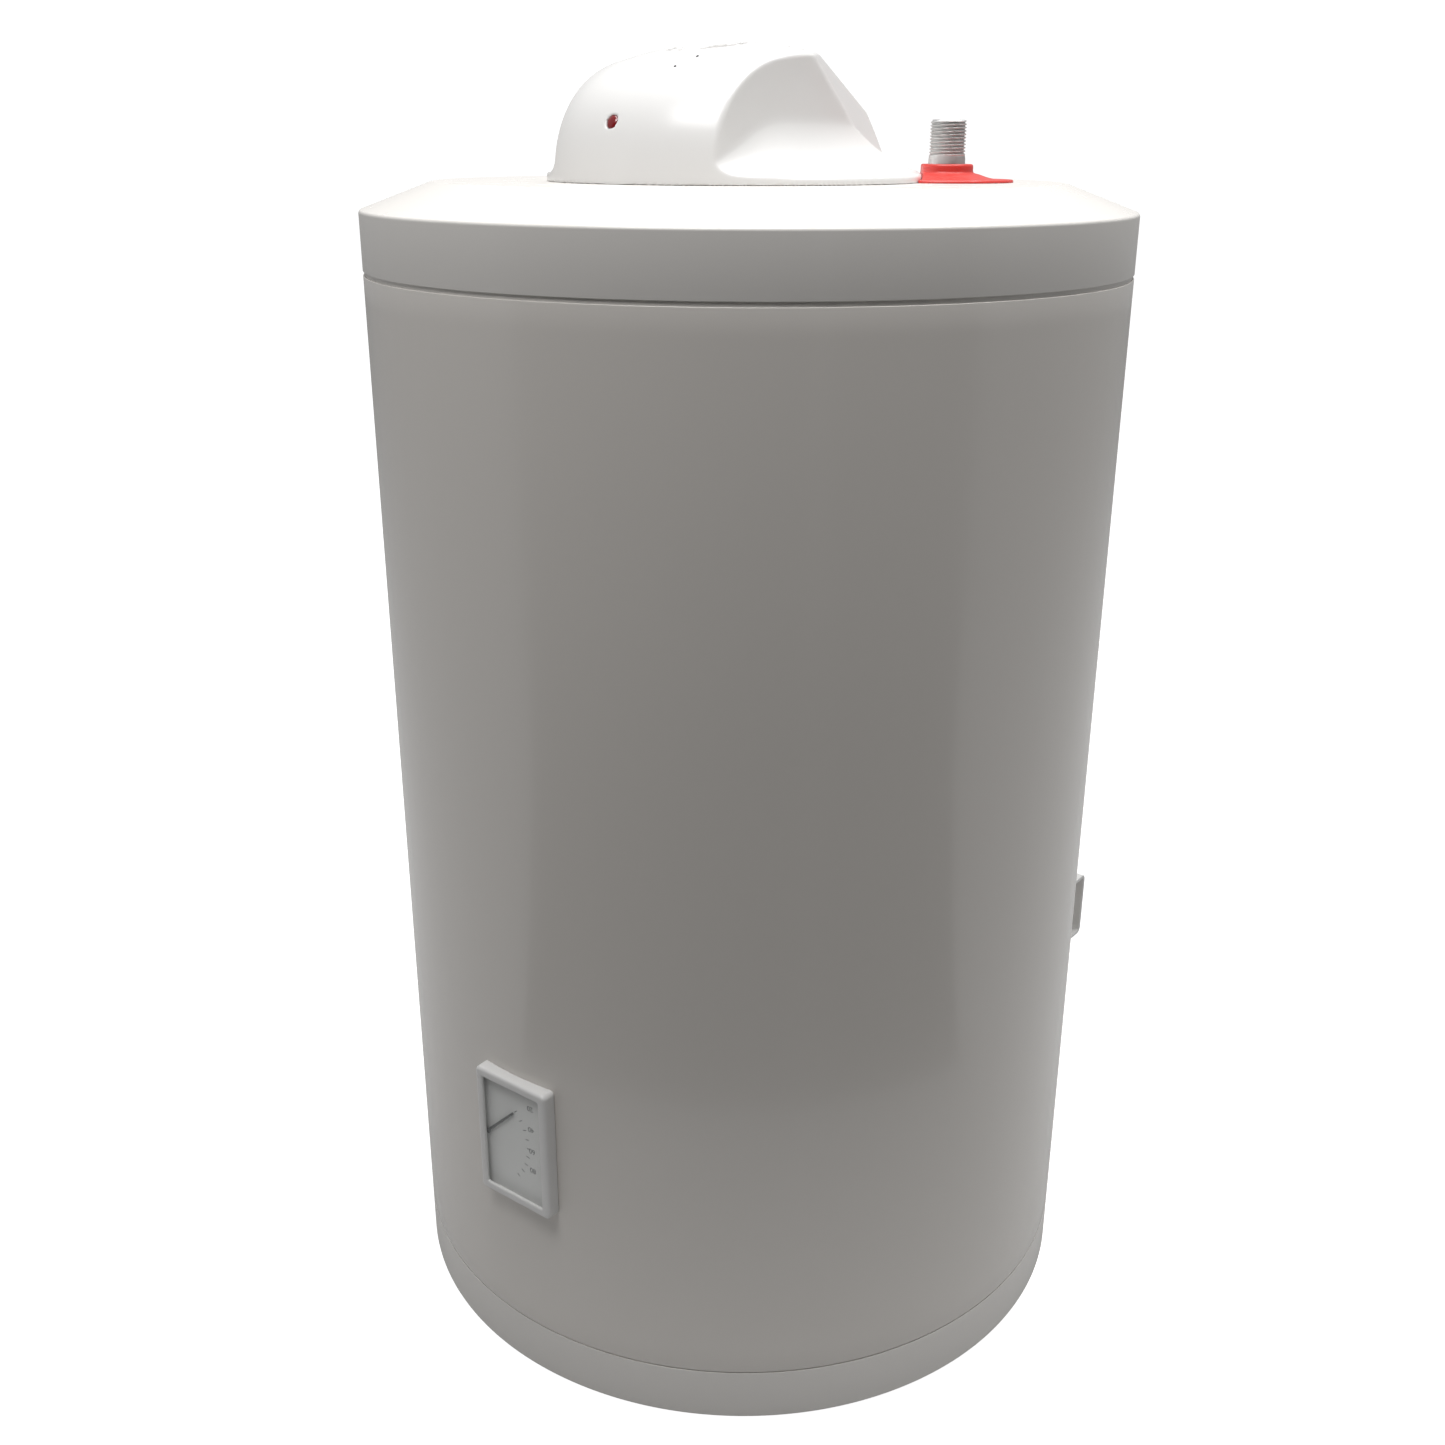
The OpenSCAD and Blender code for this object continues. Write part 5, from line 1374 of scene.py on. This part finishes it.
# a dark card in front, which the camera looks past: the jacket's middle mirrors it
card = {"azimuth": 36.0, "distance": 1.25, "spread": 62.0, "low": 0.0, "high": 1.45, "tone": 0.03,
        "patchNear": 0.55}


def makeCard():
    points, faces = [], []
    steps = 24
    for k in range(steps + 1):
        a = math.radians(card["azimuth"] - card["spread"] + 2 * card["spread"] * k / steps)
        for z in (card["low"], card["high"]):
            points.append((card["distance"] * math.sin(a), -card["distance"] * math.cos(a), z))
    for k in range(steps):
        faces.append([2 * k, 2 * k + 2, 2 * k + 3, 2 * k + 1])
    ob = addObject("frontCard", meshFrom("frontCard", points, faces),
                   plainMaterial("cardPaint", card["tone"], 0.9))
    points = []
    for k in range(steps + 1):
        a = math.radians(card["azimuth"] - card["spread"] + 2 * card["spread"] * k / steps)
        for d in (card["patchNear"], card["distance"]):
            points.append((d * math.sin(a), -d * math.cos(a), 0.002))
    patch = addObject("frontPatch", meshFrom("frontPatch", points, faces),
                      plainMaterial("patchPaint", card["tone"], 0.9))
    for o in (ob, patch):
        o.visible_camera = False
        o.visible_shadow = False


makeCard()


def areaLight(name, place, target, size, power, color=(1, 1, 1)):
    data = bpy.data.lights.new(name, "AREA")
    data.shape, data.size, data.size_y = "RECTANGLE", size[0], size[1]
    data.energy, data.color = power, color
    ob = bpy.data.objects.new(name, data)
    ob.location = place
    ob.rotation_euler = (Vector(target) - Vector(place)).to_track_quat("-Z", "Y").to_euler()
    bpy.context.scene.collection.objects.link(ob)
    return ob


areaLight("overhead", (0.15, 0.35, 2.7), (0, 0.1, 0.5), (2.0, 2.0), 66)
areaLight("domeFront", (0.15, -1.0, 2.05), (0, -0.1, 0.75), (0.8, 0.5), 11)

world = bpy.data.worlds.new("studio")
bpy.context.scene.world = world
world.use_nodes = True
# the backdrop stays white, while less of it lights the heater
w = Wires(world.node_tree)
seen, glow = world.node_tree.nodes["Background"], w.add("ShaderNodeBackground")
both = w.add("ShaderNodeMixShader")
rays = w.add("ShaderNodeLightPath")
for node, power in ((seen, stage["backdrop"]), (glow, stage["skyPower"])):
    node.inputs["Color"].default_value = (1, 1, 1, 1)
    node.inputs["Strength"].default_value = power
w.link(rays.outputs["Is Camera Ray"], both.inputs[0])
w.link(glow.outputs[0], both.inputs[1])
w.link(seen.outputs[0], both.inputs[2])
w.link(both.outputs[0], world.node_tree.nodes["World Output"].inputs["Surface"])

view = {"place": (0.5639, -0.7761, 0.7414), "look": (-0.5604, 0.7481, -0.3554), "lens": 37.97,
        "roll": 0.22}
cameraData = bpy.data.cameras.new("camera")
cameraData.lens, cameraData.sensor_width = view["lens"], 36.0
cameraData.clip_start = 0.01
camera = bpy.data.objects.new("camera", cameraData)
bpy.context.scene.collection.objects.link(camera)
look = Vector(view["look"]).normalized()
right = look.cross(Vector((0, 0, 1))).normalized()
up = right.cross(look)
rollTurn = math.radians(view["roll"])
right, up = (right * math.cos(rollTurn) + up * math.sin(rollTurn),
             up * math.cos(rollTurn) - right * math.sin(rollTurn))
camera.matrix_world = Matrix.Translation(view["place"]) @ Matrix((right, up, -look)).transposed().to_4x4()
bpy.context.scene.camera = camera
bpy.context.scene.view_settings.view_transform = "Standard"
